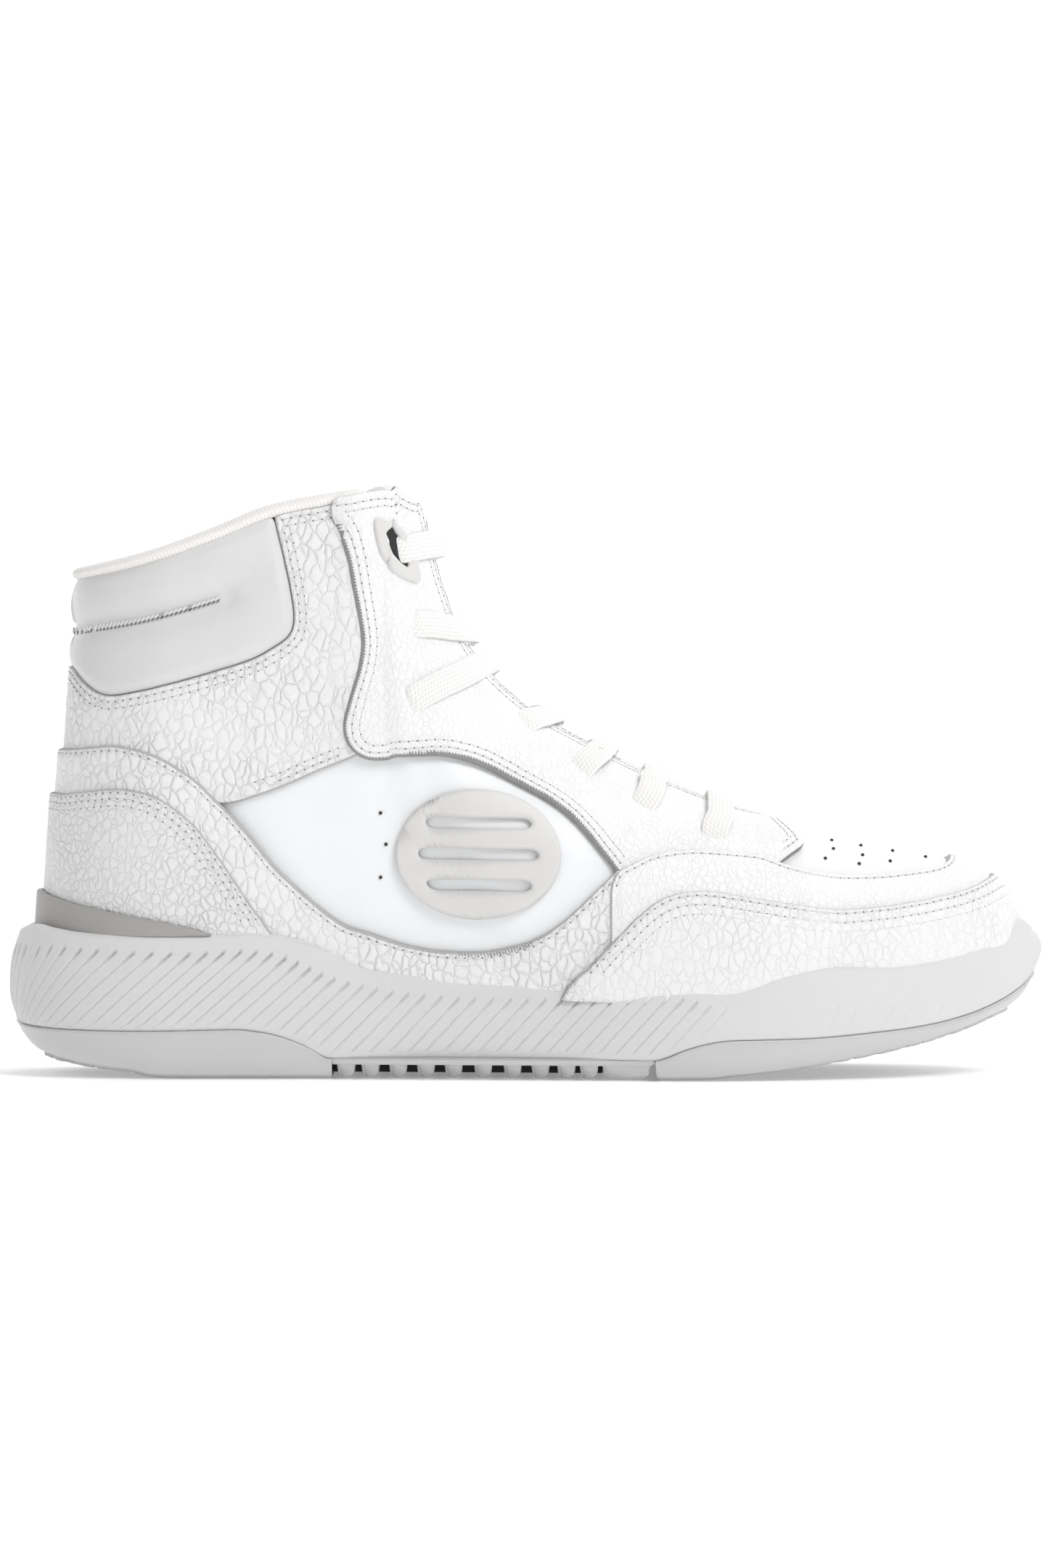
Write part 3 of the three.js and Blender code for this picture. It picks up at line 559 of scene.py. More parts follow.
class Edges:
    """The real edges of a panel, for distances."""

    def __init__(self, runs, height):
        places = np.vstack([skin(line[:, 0], line[:, 1], height) for line, _ in runs])
        self.places = places
        self.along = np.r_[0, np.cumsum(np.linalg.norm(np.diff(places, axis=0), axis=1))]

    def nearest(self, points):
        best, index = np.full(len(points), 1e9), np.zeros(len(points), int)
        for start in range(0, len(points), 2000):
            part = points[start : start + 2000]
            gap = ((part[:, None, :] - self.places[None]) ** 2).sum(-1)
            index[start : start + 2000] = gap.argmin(1)
            best[start : start + 2000] = np.sqrt(gap.min(1))
        return best, self.along[index]


def runs_of(ring, height, spacing):
    """Splits a ring into runs of real edge and runs along the middle or under the sole."""
    real = ring[:, 2] > 0.5
    if real.all():
        return [(even(ring, spacing, height, True), True)], True
    start = int(np.argmax(real & ~np.roll(real, 1)))
    ring = np.roll(ring, -start, 0)
    real = ring[:, 2] > 0.5
    cuts = [0, *(np.flatnonzero(real[1:] != real[:-1]) + 1), len(ring)]
    runs = []
    for a, b in zip(cuts, cuts[1:]):
        if real[a]:
            runs.append((even(ring[a:b], spacing, height), True))
        else:
            runs.append((ring[a:b, :2], False))
    return runs, False


def sew(line, inward, tangent, height, rows, edges, seen, lift, pitch=PITCH):
    """Marks the stitches of each row, on both sides of the shoe."""
    for row in rows:
        q, w = moved_in(line, inward, row)
        place = skin(q, w, height)
        far = edges.nearest(place)[0] > row * 0.93
        length = np.r_[0, np.cumsum(np.linalg.norm(np.diff(place, axis=0), axis=1))]
        at = np.arange(pitch / 2, length[-1], pitch)
        q, w = np.interp(at, length, q), np.interp(at, length, w)
        keep = np.interp(at, length, far.astype(float)) > 0.7
        place = upper(q, w)
        keep &= seen(place[:, 0], place[:, 2]) & (np.abs(place[:, 1]) > 0.6)
        up = slopes(q, w)[2]
        place = place + up * (lift(place[:, 0], place[:, 2]))[:, None]
        way = np.stack([np.interp(at, length, tangent[:, k]) for k in range(3)], -1)
        for side in (1, -1):
            flip = np.array([1, side, 1])
            seams.append(np.hstack([place * flip, up * flip, way * flip])[keep])


def put_right(points):
    """Millimetres in the half shoe's own frame, to metres in the shared one."""
    out = points.copy()
    out[:, 1] += centre_line(points[:, 0])
    return out * MM


def make_object(name, points, faces, materials, picks=None, smooth=True):
    mesh = bpy.data.meshes.new(name)
    mesh.from_pydata(points.tolist(), [], faces)
    for material in materials:
        mesh.materials.append(material)
    if picks is not None:
        mesh.polygons.foreach_set("material_index", picks)
    mesh.polygons.foreach_set("use_smooth", [smooth] * len(mesh.polygons))
    mesh.update()
    obj = bpy.data.objects.new(name, mesh)
    bpy.context.collection.objects.link(obj)
    return obj


def mirrored(points, faces, picks):
    """Adds the other side of the shoe. Points in the middle plane are shared."""
    middle = np.abs(points[:, 1]) < MIDDLE
    points[middle, 1] = 0
    other = np.arange(len(points))
    other[~middle] = len(points) + np.arange((~middle).sum())
    twin = points[~middle] * [1, -1, 1]
    back = [tuple(int(other[v]) for v in reversed(face)) for face in faces]
    return np.vstack([points, twin]), faces + back, picks + picks


def always(x, z):
    return np.ones(np.shape(x), bool)


def level(value):
    return lambda x, z: np.full(np.shape(x), float(value))


def within(points, starts, ends):
    """Whether flat points lie inside the rings made of the given edges."""
    odd = np.zeros(len(points), bool)
    for p, q in zip(starts, ends):
        if p[1] != q[1]:
            crosses = (p[1] > points[:, 1]) != (q[1] > points[:, 1])
            odd ^= crosses & (points[:, 0] < p[0] + (points[:, 1] - p[1]) * (q[0] - p[0]) / (q[1] - p[1]))
    return odd


def panel(name, region, lift, thick, materials, rows=(), rim=0.5, relief=None, spacing=0.9,
          coarse=1, seen=always, one_side=None, groove=0.3, edge_rows=EDGE_ROWS, pitch=PITCH, raw=0.0,
          bare_at=always):
    """One panel of the upper: a region of the surface, closed into a thin solid."""
    height = float(np.mean(lift(np.zeros(1), np.full(1, 100.0))))
    at_height = GRID + GRID_NORMAL * height
    boundary, chains, inner, sewing = [], [], [], []
    found = rings(region(at_height))
    for ring in found:
        runs, closed = runs_of(ring, height, spacing)
        real_runs = [run for run in runs if run[1]]
        edges = Edges(real_runs, height)
        start = len(boundary)
        for line, real in runs:
            for q, w in line:
                boundary.append((q, w, 0.0 if real else -1.0))
            if real:
                _, tangent, _, inward = edge_frame(line, height, closed)
                sewing.append((line, inward, tangent))
                for row in edge_rows:
                    q, w = moved_in(line, inward, row)
                    away, _ = edges.nearest(skin(q, w, height))
                    keep = away > row * 0.93
                    inner.append(np.stack([q, w, np.full(len(q), row)], -1)[keep])
        count = len(boundary) - start
        chains += [(start + k, start + (k + 1) % count) for k in range(count)]
    all_runs = [run for ring in found for run in runs_of(ring, height, spacing)[0] if run[1]]
    edges = Edges(all_runs, height)
    live = region(at_height) > 0.3
    pick = np.zeros_like(live)
    pick[::coarse, ::coarse] = live[::coarse, ::coarse]
    i, j = np.nonzero(pick)
    spots = np.stack([GRID_Q[i], GRID_W[j], np.zeros(len(i))], -1)
    away, _ = edges.nearest(at_height[i, j])
    spots = spots[away > (edge_rows[-1] if edge_rows else 0) + 0.6]
    every = np.vstack([np.array(boundary), *inner, spots])
    flat = flat_map(every[:, 0], every[:, 1])
    made = delaunay_2d_cdt([Vector(p) for p in flat], chains, [], 0, 1e-4, True)
    out = np.array([tuple(p) for p in made[0]])
    triangles = np.array(made[2])
    ends = np.array(chains)
    kept = within(out[triangles].mean(1), flat[ends[:, 0]], flat[ends[:, 1]])
    q = np.interp(out[:, 0], run, fine_q)
    w = out[:, 1] / np.interp(q, GRID_Q, RIB_LENGTH)
    known = np.array([ids[0] if ids else -1 for ids in made[3]])
    base = upper(q, w)
    up = slopes(q, w)[2]
    raised = lift(base[:, 0], base[:, 2])
    away, along = edges.nearest(base + up * height)
    exact = np.where(known >= 0, every[known, 2], -2)
    away = np.where(exact >= 0, exact, away)
    away = np.where((known >= 0) & (exact == 0) & (known >= len(boundary)),
                    np.maximum(away, edge_rows[-1] if edge_rows else 0), away)
    top = raised.copy()
    if rim:
        inner_part = np.clip(rim - away, 0, rim)
        top -= rim - np.sqrt(rim * rim - inner_part**2 + 1e-12)
    if raw:
        ragged = raw * (1 + 0.22 * np.sin(along * 3.1) + 0.16 * np.sin(along * 7.7 + 1))
        top -= 0.85 * thick * np.clip(1 - away / ragged, 0, 1) * bare_at(base[:, 0], base[:, 2])
    for row in rows:
        puff = 0.5 + 0.5 * np.cos(2 * math.pi * along / pitch)
        top -= (groove * (0.75 + 0.25 * puff)) * np.exp(-(((away - row) / GROOVE_HALF) ** 2))
        top += PUFF * np.exp(-(((away - row - 1.1) / 0.7) ** 2))
    if relief is not None:
        top += relief(base, away, along)
    under = np.minimum(raised - thick, top - 0.25)
    outer = base + up * top[:, None]
    lower = base + up * under[:, None]
    count = len(outer)
    faces = [tuple(face) for face in triangles[kept].tolist()]
    links = {}
    for face in faces:
        for a, b in zip(face, face[1:] + face[:1]):
            links[(a, b)] = 1
    on_middle = np.abs(base[:, 1]) < MIDDLE
    walls = []
    for a, b in links:
        if (b, a) not in links and not (on_middle[a] and on_middle[b]):
            walls.append((count + a, count + b, b, a))
    solid = faces + [tuple(count + v for v in reversed(face)) for face in faces] + walls
    corners = np.array(faces)
    spot = base[corners[:, 0]]
    bare = (away[corners].mean(1) < raw * 0.8) & (bare_at(spot[:, 0], spot[:, 2]) > 0.5)
    picks = bare.astype(int).tolist() + [min(2, len(materials) - 1)] * len(faces)
    picks += [min(1, len(materials) - 1)] * len(walls)
    points = np.vstack([outer, lower])
    for line, inward, tangent in sewing:
        sew(line, inward, tangent, height, rows, edges, seen, lambda x, z: lift(x, z) - 0.12, pitch)
    if one_side is None:
        points, solid, picks = mirrored(points, solid, picks)
        return finish_panel(name, points, solid, materials, picks)
    made_pieces = []
    for side, suffix in ((1, "lateral"), (-1, "medial")):
        turned = solid if side == 1 else [tuple(reversed(face)) for face in solid]
        placed = points * [1, side, 1]
        made_pieces.append(finish_panel(f"{name}_{suffix}", placed, turned, materials, picks))
    return made_pieces


def finish_panel(name, points, faces, materials, picks):
    obj = make_object(name, put_right(points), faces, materials, picks)
    print(name, len(obj.data.polygons), "faces")
    return obj


def ramp(x, start, end):
    """0 at start, 1 at end, smooth between."""
    t = np.clip((x - start) / (end - start), 0, 1)
    return t * t * (3 - 2 * t)

# %% [markdown]
# The outlines of the panels, as they are drawn in side view. The collar pad sits in a cut-out of the ankle
# panel. The window in the quarter is what the ankle panel, the eyestay and the waist strip leave free.

# %% Outlines
PAD_EDGE = curve(
    "-150 119.2 -136.5 119.2 -133 119 -130 115.8 -127 113 -124 111.3 -121 110.7 -118 111 -110 112.5 -100 115"
    " -90 117.8 -80 121 -75 123.5 -71 126 -69 127.5 -67.5 130 -67.2 133 -67.7 138 -69 145 -71.5 156 -74.5 168"
)
EYESTAY_REAR = curve(
    "-56 168 -56.3 163 -55 160 -53 154 -51.5 149 -50.3 143 -49 137 -48 132 -47.3 127 -47.5 123 -48.5 118"
    " -50.5 112 -52 107 -53 103 -52.8 99 -51.5 96 -49 93.5 -46 92.2 -43 91.9 -38 92.4 -34 92.9 -28 93.6"
    " -24 93.8 -20 93.4 -14 92 -8 89.5 -3 87 2 84.5 7 81.7 12 78 15 75 18 71.5 21 67.5 24 63.5 27 59"
)
WINDOW_LOW = curve(
    "-137.5 95 -130 95.3 -120 96.3 -115 95.7 -110 94.5 -105 92.5 -100 89.5 -95 86 -92 83 -89 80 -86 77.3"
    " -83 74 -80 70.5 -77 66.7 -74 62.8 -71 59.5 -68 56.7 -65 54 -62 51.3 -59 48.8 -56 46.5 -53 44.5"
    " -50 43.3 -45 42 -40 40.2 -35 38.7 -30 37.7 -25 36.9 -15 36.6 -10 37 -5 38 0 39.5 5 42 10 45.5"
    " 15 50 20 55 25.5 60.3 28 63"
)
HEEL_COVER = curve(
    "-150 82 -138.5 82.3 -135 82 -130 82.7 -120 83.8 -115 83.5 -110 82.5 -105 80.5 -100 77 -95 72.5"
    " -92 68.5 -88 63 -85 58.5 -82 54 -79 49.5 -76 45.5 -73 41 -70 36 -66 28"
)
ANKLE_LOW = curve("-150 80 -110 78.5 -87 79.3 -80 81 -70 84.5 -60 89 -50 93 -40 98")
INNER_GUARD = curve(
    "24 56 26 60.3 28 61.7 31 63 35 65 40 66.2 45 66.7 50 66.8 60 66 68 65 75 62.5 80 61.3 85 60.8 95 60.4"
    " 105 60.7 115 61.7 120 62.5 124 64.6 126 70"
)
OUTER_GUARD = curve(
    "8 20 10 24.5 13.5 29.3 16 31 20 35 24 39.5 27 42.5 30 45.7 33 48.5 36 51 40 53.3 44 54.6 48 55"
    " 52 55.1 60 54 70 52.3 80 50.8 90 50.1 95 50.3 105 51.1 115 52.5 120 53.5 125 54.5 130 56 134 57.7"
    " 138.5 60 150 66"
)
TOE_END = curve("60 90 70 80 78 73.4 80 71.5 81 69.5 80 68.5 77 66.5 74 64.2 70 61 60 56")


def closed(*parts):
    return np.vstack([np.asarray(part, float).reshape(-1, 2) for part in parts])


COLLAR_X = np.linspace(-44, -152, 60)
COLLAR = np.stack([COLLAR_X, collar_edge(COLLAR_X) - 2.4], -1)
PAD = closed(PAD_EDGE, COLLAR[COLLAR_X < -73])
ANKLE = closed(ANKLE_LOW, [(-37, 104), (-35, 130), (-38, 150), (-40, 168)], COLLAR)
EYESTAY = closed(EYESTAY_REAR, [(30, 55), (60, 56)], TOE_END[::-1], [(60, 96), (0, 140), (-8, 170)],
                 [(-33, 168), (-37, 170), (-43, 169.8), (-48, 169), (-52, 168)])
OVERLAY = closed(WINDOW_LOW, [(32, 62), (32, 0), (-160, 0), (-160, 95)])
COVER = closed(HEEL_COVER, [(-160, 20), (-160, 82)])
QUARTER = closed([(-104, 20), (34, 20), (34, 112), (-60, 112), (-104, 100)])
TOE = closed([(24, 10), (170, 10), (170, 120), (24, 120)])
INNER = closed(INNER_GUARD, [(160, 72), (160, 36), (24, 36)])
OUTER = closed(OUTER_GUARD, [(170, 66), (170, -5), (8, -5)])


def side(outline):
    """A region drawn in side view."""
    return lambda place: inside(place[..., [0, 2]], outline)


def throat(half_gap, end=66.0, start=-62.0):
    """The lace opening's plan outline, symmetric about the middle."""
    h = half_gap
    edge = [(start, h), (-10, h), (20, h - 2), (end - 14, h - 5), (end - 3, h - 9), (end, 0)]
    fine = spline([(end + 2, 0)] + edge[::-1][1:], 6)
    return closed(fine * [1, -1], fine[::-1])


def minus(region, *cuts):
    return lambda place: np.min([region(place), *(-cut(place) for cut in cuts)], axis=0)


def plan(outline):
    return lambda place: inside(place[..., [0, 1]], outline)


OPENING = plan(throat(14))
TONGUE_STRIP = plan(throat(22, 68, -56))


def below_collar(drop=2.4):
    return lambda place: collar_edge(place[..., 0]) - drop - place[..., 2]

# %% [markdown]
# Leather never lies dead flat. Between the seams it shows shallow folds that run down and forward, and round
# the ankle the folds are larger, because that is where the shoe bends.

# %% Folds in the leather


def waves(place, size, seed=0, turn=0.9):
    """Smooth irregular waves, drawn out along a slanting direction in side view."""
    rng = np.random.default_rng(seed)
    total = np.zeros(len(place))
    for k in range(14):
        angle = turn + rng.normal(0, 0.42)
        length = size * rng.uniform(0.6, 1.6)
        phase = rng.uniform(0, 7)
        drift = np.sin(place[:, 0] / (size * 3.1) + k) + np.sin(place[:, 2] / (size * 2.7) + 2 * k)
        way = place[:, 0] * math.cos(angle) + place[:, 2] * math.sin(angle)
        total += np.sin(way * 2 * math.pi / length + phase + drift)
    return total / 14


def folds(depth, size, seed, turn=0.9, rim=9.0):
    def relief(place, away, along):
        line = waves(place, size, seed, turn)
        broad = waves(place, size * 3.4, seed + 1, turn + 0.5)
        sharp = 1 - np.abs(line) * 3.2
        return (line * depth + broad * depth * 1.2
                - np.clip(sharp, 0, 1) ** 2 * depth * 0.5) * ramp(away, 3.0, rim)

    return relief


def near_sole(margin=2.0):
    return lambda x, z: z > sole_top(x) + margin


sole_top = height_curve(
    "-151.2 42 -146.5 43.9 -140 43 -125 41.7 -90 42 -78 42.6 -65 40 -50 33 -40 31 0 29.1 30 29.8 50 27.5"
    " 60 27 75 30.5 90 32 108 31.8 125 34.3 140 39.3 147 44.3 151.2 42"
)

# %% [markdown]
# The base layer is a soft smooth leather, seen in the window of the quarter and at the front of the toe box.

# %% Base layer
shown = {}
shown["quarter"] = panel("window", minus(side(QUARTER), OPENING), level(0), 1.3, [WINDOW_LEATHER, CUT_EDGE],
                         relief=folds(0.10, 16, 3), coarse=2, edge_rows=[], one_side="both")
shown["toe_box"] = panel("toe_leather", minus(side(TOE), OPENING), level(0), 1.3, [TOE_LEATHER, CUT_EDGE],
                         relief=folds(0.10, 12, 5), coarse=2, edge_rows=[])

# %% [markdown]
# Over it lie the cut panels, each stitched down along its edge.

# %% Stitched panels
def eyestay_lift(x, z):
    return 2.1 + 1.3 * ramp(z, 84, 98)


def eyestay_raw(x, z):
    """The eyestay's edge is raw along the shaft and the lace rows, and turned in at the top and at the toe."""
    return (1 - ramp(z, 157, 164)) * (1 - ramp(x, 24, 30))


def overlay_lift(x, z):
    return 2.2 + 1.2 * ramp(-x, 62, 84)


def inner_guard_lift(x, z):
    return 1.8 + 1.7 * (1 - ramp(x, 76, 92))


def outer_guard_lift(x, z):
    return 3.4 + 1.5 * (1 - ramp(x, 76, 92))


ankle = panel("ankle_panel", minus(side(ANKLE), side(PAD)), level(1.8), 1.4, [LEATHER, CUT_EDGE],
              rows=(2.0, 4.0), relief=folds(0.42, 8, 11), one_side="both", raw=0.7,
              seen=lambda x, z: (x < -53) & (z > 85))
eyestay = panel("eyestay_leather", minus(side(EYESTAY), OPENING), eyestay_lift, 1.4,
                [FINE_LEATHER, RAW_EDGE, LINING],
                rows=(2.3, 4.3), relief=folds(0.14, 9, 13), raw=1.25, bare_at=eyestay_raw,
                seen=lambda x, z: (z > 62) & ((z > 67) | (x < 28) | (x > 74)))
overlay = panel("heel_overlay_leather", side(OVERLAY), overlay_lift, 1.4, [LEATHER, CUT_EDGE], rows=(1.6,),
                relief=folds(0.26, 7, 17), raw=0.8, seen=lambda x, z: (z > sole_top(x) + 2) & (x < 25))
cover = panel("heel_cover_leather", side(COVER), level(4.9), 1.4, [HEEL_LEATHER, CUT_EDGE],
              rows=(1.2, 3.0, 5.0), relief=folds(0.16, 6, 19), raw=0.6, seen=lambda x, z: z > sole_top(x) + 1)
inner_guard = panel("inner_mudguard_leather", side(INNER), inner_guard_lift, 1.4, [FINE_LEATHER, CUT_EDGE],
                    rows=(1.7,), raw=0.6, relief=folds(0.10, 8, 23), seen=lambda x, z: z > 56)
outer_guard = panel("outer_mudguard_leather", side(OUTER), outer_guard_lift, 1.4, [GUARD_LEATHER, CUT_EDGE],
                    rows=(1.5, 4.0, 6.5), raw=0.6, relief=folds(0.18, 8, 29, rim=14), seen=near_sole())

# %% [markdown]
# Where a padded cover swells most is found with a cloth simulation. A cover on a coarse grid is held where it
# is sewn and swells under a light pressure for twenty frames. Only the shape of the swelling is kept, as a
# smooth map from 0 to 1, and each piece then says how many millimetres that map stands for. Seams and sewn
# channels are plain displacement of the fine mesh, because the coarse cover can't hold them.

# %% Pumping up a cover


PRESSURE = 4.0
FRAMES = 20
HELD_EDGE = 0.75  # how far in from the seam the cover is held, in grid steps


def blown_up(name, region, height, held, stride=3, reach=3.6):
    """Where a padded cover swells, as a map from 0 at its seams to 1 where it stands highest."""
    start = (GRID + GRID_NORMAL * height)[::stride, ::stride]
    live = region(start) > 0
    index = np.cumsum(live).reshape(live.shape) - 1
    faces = []
    for i, j in np.argwhere(live[:-1, :-1] & live[1:, :-1] & live[1:, 1:] & live[:-1, 1:]):
        faces.append((index[i, j], index[i + 1, j], index[i + 1, j + 1], index[i, j + 1]))
    points, up = start[live], GRID_NORMAL[::stride, ::stride][live]
    count = len(points)
    both_sides, faces, _ = mirrored(points.copy(), faces, [])
    cover = make_object(name, both_sides * MM, faces, [])
    sewn = (region(both_sides) < HELD_EDGE * stride) | held(both_sides)
    cover.vertex_groups.new(name="sewn").add(np.flatnonzero(sewn).tolist(), 1.0, "REPLACE")
    cloth = cover.modifiers.new("cloth", "CLOTH")
    cloth.settings.vertex_group_mass = "sewn"
    cloth.settings.use_pressure = True
    cloth.settings.uniform_pressure_force = PRESSURE
    cloth.settings.effector_weights.gravity = 0
    for number in range(1, FRAMES + 1):
        bpy.context.scene.frame_set(number)
    graph = bpy.context.evaluated_depsgraph_get()
    after = bpy.data.meshes.new_from_object(cover.evaluated_get(graph))
    moved = np.array([tuple(vertex.co) for vertex in after.vertices])[:count] / MM
    bpy.data.objects.remove(cover)
    bpy.context.scene.frame_set(1)
    rise = np.clip(((moved - points) * up).sum(1), 0, None)
    print(name, "swells by up to", round(float(rise.max()), 2), "mm on", count, "points")
    rise = np.minimum(rise / max(np.percentile(rise, 95), 1e-6), 1.0)

    def swell(place):
        total = np.zeros(len(place))
        for first in range(0, len(place), 4000):
            gap = ((place[first : first + 4000, None] - points[None]) ** 2).sum(-1)
            weight = np.exp(-gap / reach**2) + 1e-12
            total[first : first + 4000] = (weight * rise).sum(1) / weight.sum(1)
        return total

    return swell

# %% [markdown]
# The collar is a foam roll under soft leather, held down by the ankle panel's edge and by a sewn channel that
# crosses it. It stands proud in the middle of each part, and pulls into small folds at the channel's end.
# It rises by a fixed profile away from its seams. The simulated map adds up to 1.7 mm to that. The map is
# scaled up for this, because the cover itself swelled by less than half a millimetre.

# %% Collar pad
PAD_RISE = 2.3
PAD_SIMULATED = 1.7
CHANNEL = spline([(-145, 129.5), (-133, 129.5), (-125, 130), (-120, 130.8), (-110, 132.8), (-100, 135.3),
                  (-95, 137), (-88, 139.2)])


def near_line(place, line):
    gaps = np.linalg.norm(place[:, None, [0, 2]] - line[None], axis=2)
    return gaps.min(1)


pad_swell = blown_up("collar cover", side(PAD), 1.3, lambda place: near_line(place, CHANNEL) < 2.4)


def pad_relief(place, away, along):
    gap = near_line(place, CHANNEL)
    swell = (PAD_RISE + PAD_SIMULATED * pad_swell(place)) * (1 - np.exp(-away / 4.2)) - 0.5
    dent = 4.4 * np.exp(-((gap / 1.3) ** 2)) + 1.7 * np.exp(-((gap / 5.0) ** 2))
    turn = np.arctan2(place[:, 2] - 139.5, place[:, 0] + 87)
    far = np.hypot(place[:, 0] + 87, place[:, 2] - 139.5)
    rays = 0.13 * np.sin(turn * 11 + 0.6) * np.exp(-(((far - 5) / 4.5) ** 2))
    soft = 0.35 * waves(place, 22, 41, 0.4)
    return np.maximum(swell - dent - rays + soft - 1.0 * np.exp(-((far / 2.4) ** 2)), -0.75)


pad = panel("collar_cushion", side(PAD), level(1.3), 1.6, [PAD_LEATHER], relief=pad_relief, rim=0.0,
            edge_rows=[0.4, 1.0, 1.8, 2.8])
channel_thread = []
for spot in np.arange(-133.5, -89, 1.15):
    height_here = np.interp(spot, CHANNEL[:, 0], CHANNEL[:, 1])
    channel_thread.append((spot, height_here))

# %% [markdown]
# Linings follow the same surface, a few millimetres in. They are what one sees through the collar.

# %% Linings
LINED = minus(lambda place: np.minimum(below_collar(1.0)(place), 170 - place[..., 2]), plan(throat(16)))


def lined_part(start, end):
    def region(place):
        return np.minimum(LINED(place), np.minimum(place[..., 0] - start, end - place[..., 0]))

    return region


lining = panel("lining_sides", lined_part(-200, 30), level(-3.9), 1.2, [LINING], coarse=3, edge_rows=[],
               spacing=2, one_side="both", rim=0)
lining_front = panel("lining_toe", lined_part(30.2, 200), level(-3.9), 1.2, [LINING], coarse=3,
                     edge_rows=[], spacing=2, rim=0)

# %% [markdown]
# The collar's edge is bound with a narrow ribbed knit, folded over from outside to inside and stitched. The
# ribs run across it about every millimetre, so it is made as a tube of small hoops.

# %% Bound edge
EDGE = rings(np.minimum(below_collar(1.2)(GRID), -48 - GRID[..., 0]))[0]
edge_runs = [line for line, real in runs_of(EDGE, 0, 0.22)[0] if real]
edge_line = max(edge_runs, key=len)
rim_place = upper(edge_line[:, 0], edge_line[:, 1])
on_top = np.abs(rim_place[:, 2] - collar_edge(rim_place[:, 0]) + 1.2) < 0.35
edge_line = edge_line[on_top]
if upper(*edge_line[0])[0] > upper(*edge_line[-1])[0]:
    edge_line = edge_line[::-1]
rim_place, rim_along, rim_out, _ = edge_frame(edge_line, 0)
rim_up = np.cross(rim_along, rim_out)
rim_up *= np.sign(rim_up[:, 2:3])
travel = np.r_[0, np.cumsum(np.linalg.norm(np.diff(rim_place, axis=0), axis=1))]
HOOP = 16
turns = np.linspace(-0.35 * math.pi, 1.35 * math.pi, HOOP)
rib_wave = 0.16 * np.abs(np.sin(math.pi * travel / 1.1))
hoop_points = []
for k, angle in enumerate(turns):
    wide = 3.4 + rib_wave
    tall = 2.0 + rib_wave
    out = math.cos(angle) * wide - 0.9
    up = math.sin(angle) * tall
    hoop_points.append(rim_place + rim_out * out[:, None] + rim_up * up[:, None])
tube = np.stack(hoop_points, 1).reshape(-1, 3)
n = len(rim_place)
tube_faces = []
for i in range(n - 1):
    for k in range(HOOP):
        a, b = i * HOOP + k, i * HOOP + (k + 1) % HOOP
        tube_faces.append((b, a, a + HOOP, b + HOOP))
tube_faces.append(tuple((n - 1) * HOOP + k for k in range(HOOP)))
tube[:HOOP, 1] = 0
tube_all, tube_faces, _ = mirrored(tube, tube_faces, [])
binding = make_object("collar_knit_edge", put_right(tube_all), tube_faces, [KNIT])
uv = binding.data.uv_layers.new(name="weave")
loops = np.zeros(len(binding.data.loops), int)
binding.data.loops.foreach_get("vertex_index", loops)
grid_place = np.concatenate([np.arange(len(tube)), np.arange(HOOP, len(tube))])[:len(tube_all)]
uv.data.foreach_set("uv",
                    np.stack([(grid_place[loops] % HOOP) / HOOP,
                              travel[np.minimum(grid_place[loops] // HOOP, n - 1)] / 1.1], -1).ravel())
print("bound edge", round(float(travel[-1]), 1), "mm on each side")

# %% [markdown]
# The tongue is a stuffed strip under the laces: a leather face, foam, and a cloth back. Its face and its back
# both roll round to meet at the side. The simulated map is scaled down here: it adds up to 0.9 mm, where the
# coarse cover swelled by about 8 mm. The top is closed by the roll of the next cell.

# %% Tongue
TONGUE_TOP = 172.0
TONGUE_SIMULATED = 0.9


def tongue_region(place):
    strip = TONGUE_STRIP(place)
    return np.minimum(np.minimum(strip, TONGUE_TOP - 3.4 - place[..., 2]), place[..., 2] - 50)


puff = blown_up("tongue cover", tongue_region, -4.8, lambda place: place[:, 2] < 60, reach=5.0)


def tongue_swell(place, away, along):
    dip = 3.3 * (1 - np.sqrt(np.clip(1 - (1 - np.clip(away / 3.6, 0, 1)) ** 2, 0, 1)))
    stuffed = 0.4 * waves(place, 18, 51, 1.6) + TONGUE_SIMULATED * puff(place) - 0.4
    return -dip + stuffed * ramp(away, 1, 5)


tongue_rows = [0.1, 0.35, 0.8, 1.4, 2.2, 3.2]
tongue_face = panel("tongue_leather", tongue_region, level(-4.8), 4.0, [PAD_LEATHER], relief=tongue_swell,
                    rim=0, edge_rows=tongue_rows)
tongue_back = panel("tongue_back_cloth", tongue_region, level(-9.0), 3.3, [LINING], rim=0, edge_rows=[],
                    coarse=2)

# %% [markdown]
# The top of the tongue is turned over a soft cord of foam, so it ends in a round roll that follows the curve
# of the shin. Its ends are closed by drawing the cover together.

# %% Roll at the top of the tongue
ROLL_HALF = 16.5
ROLL_SIDES = 20


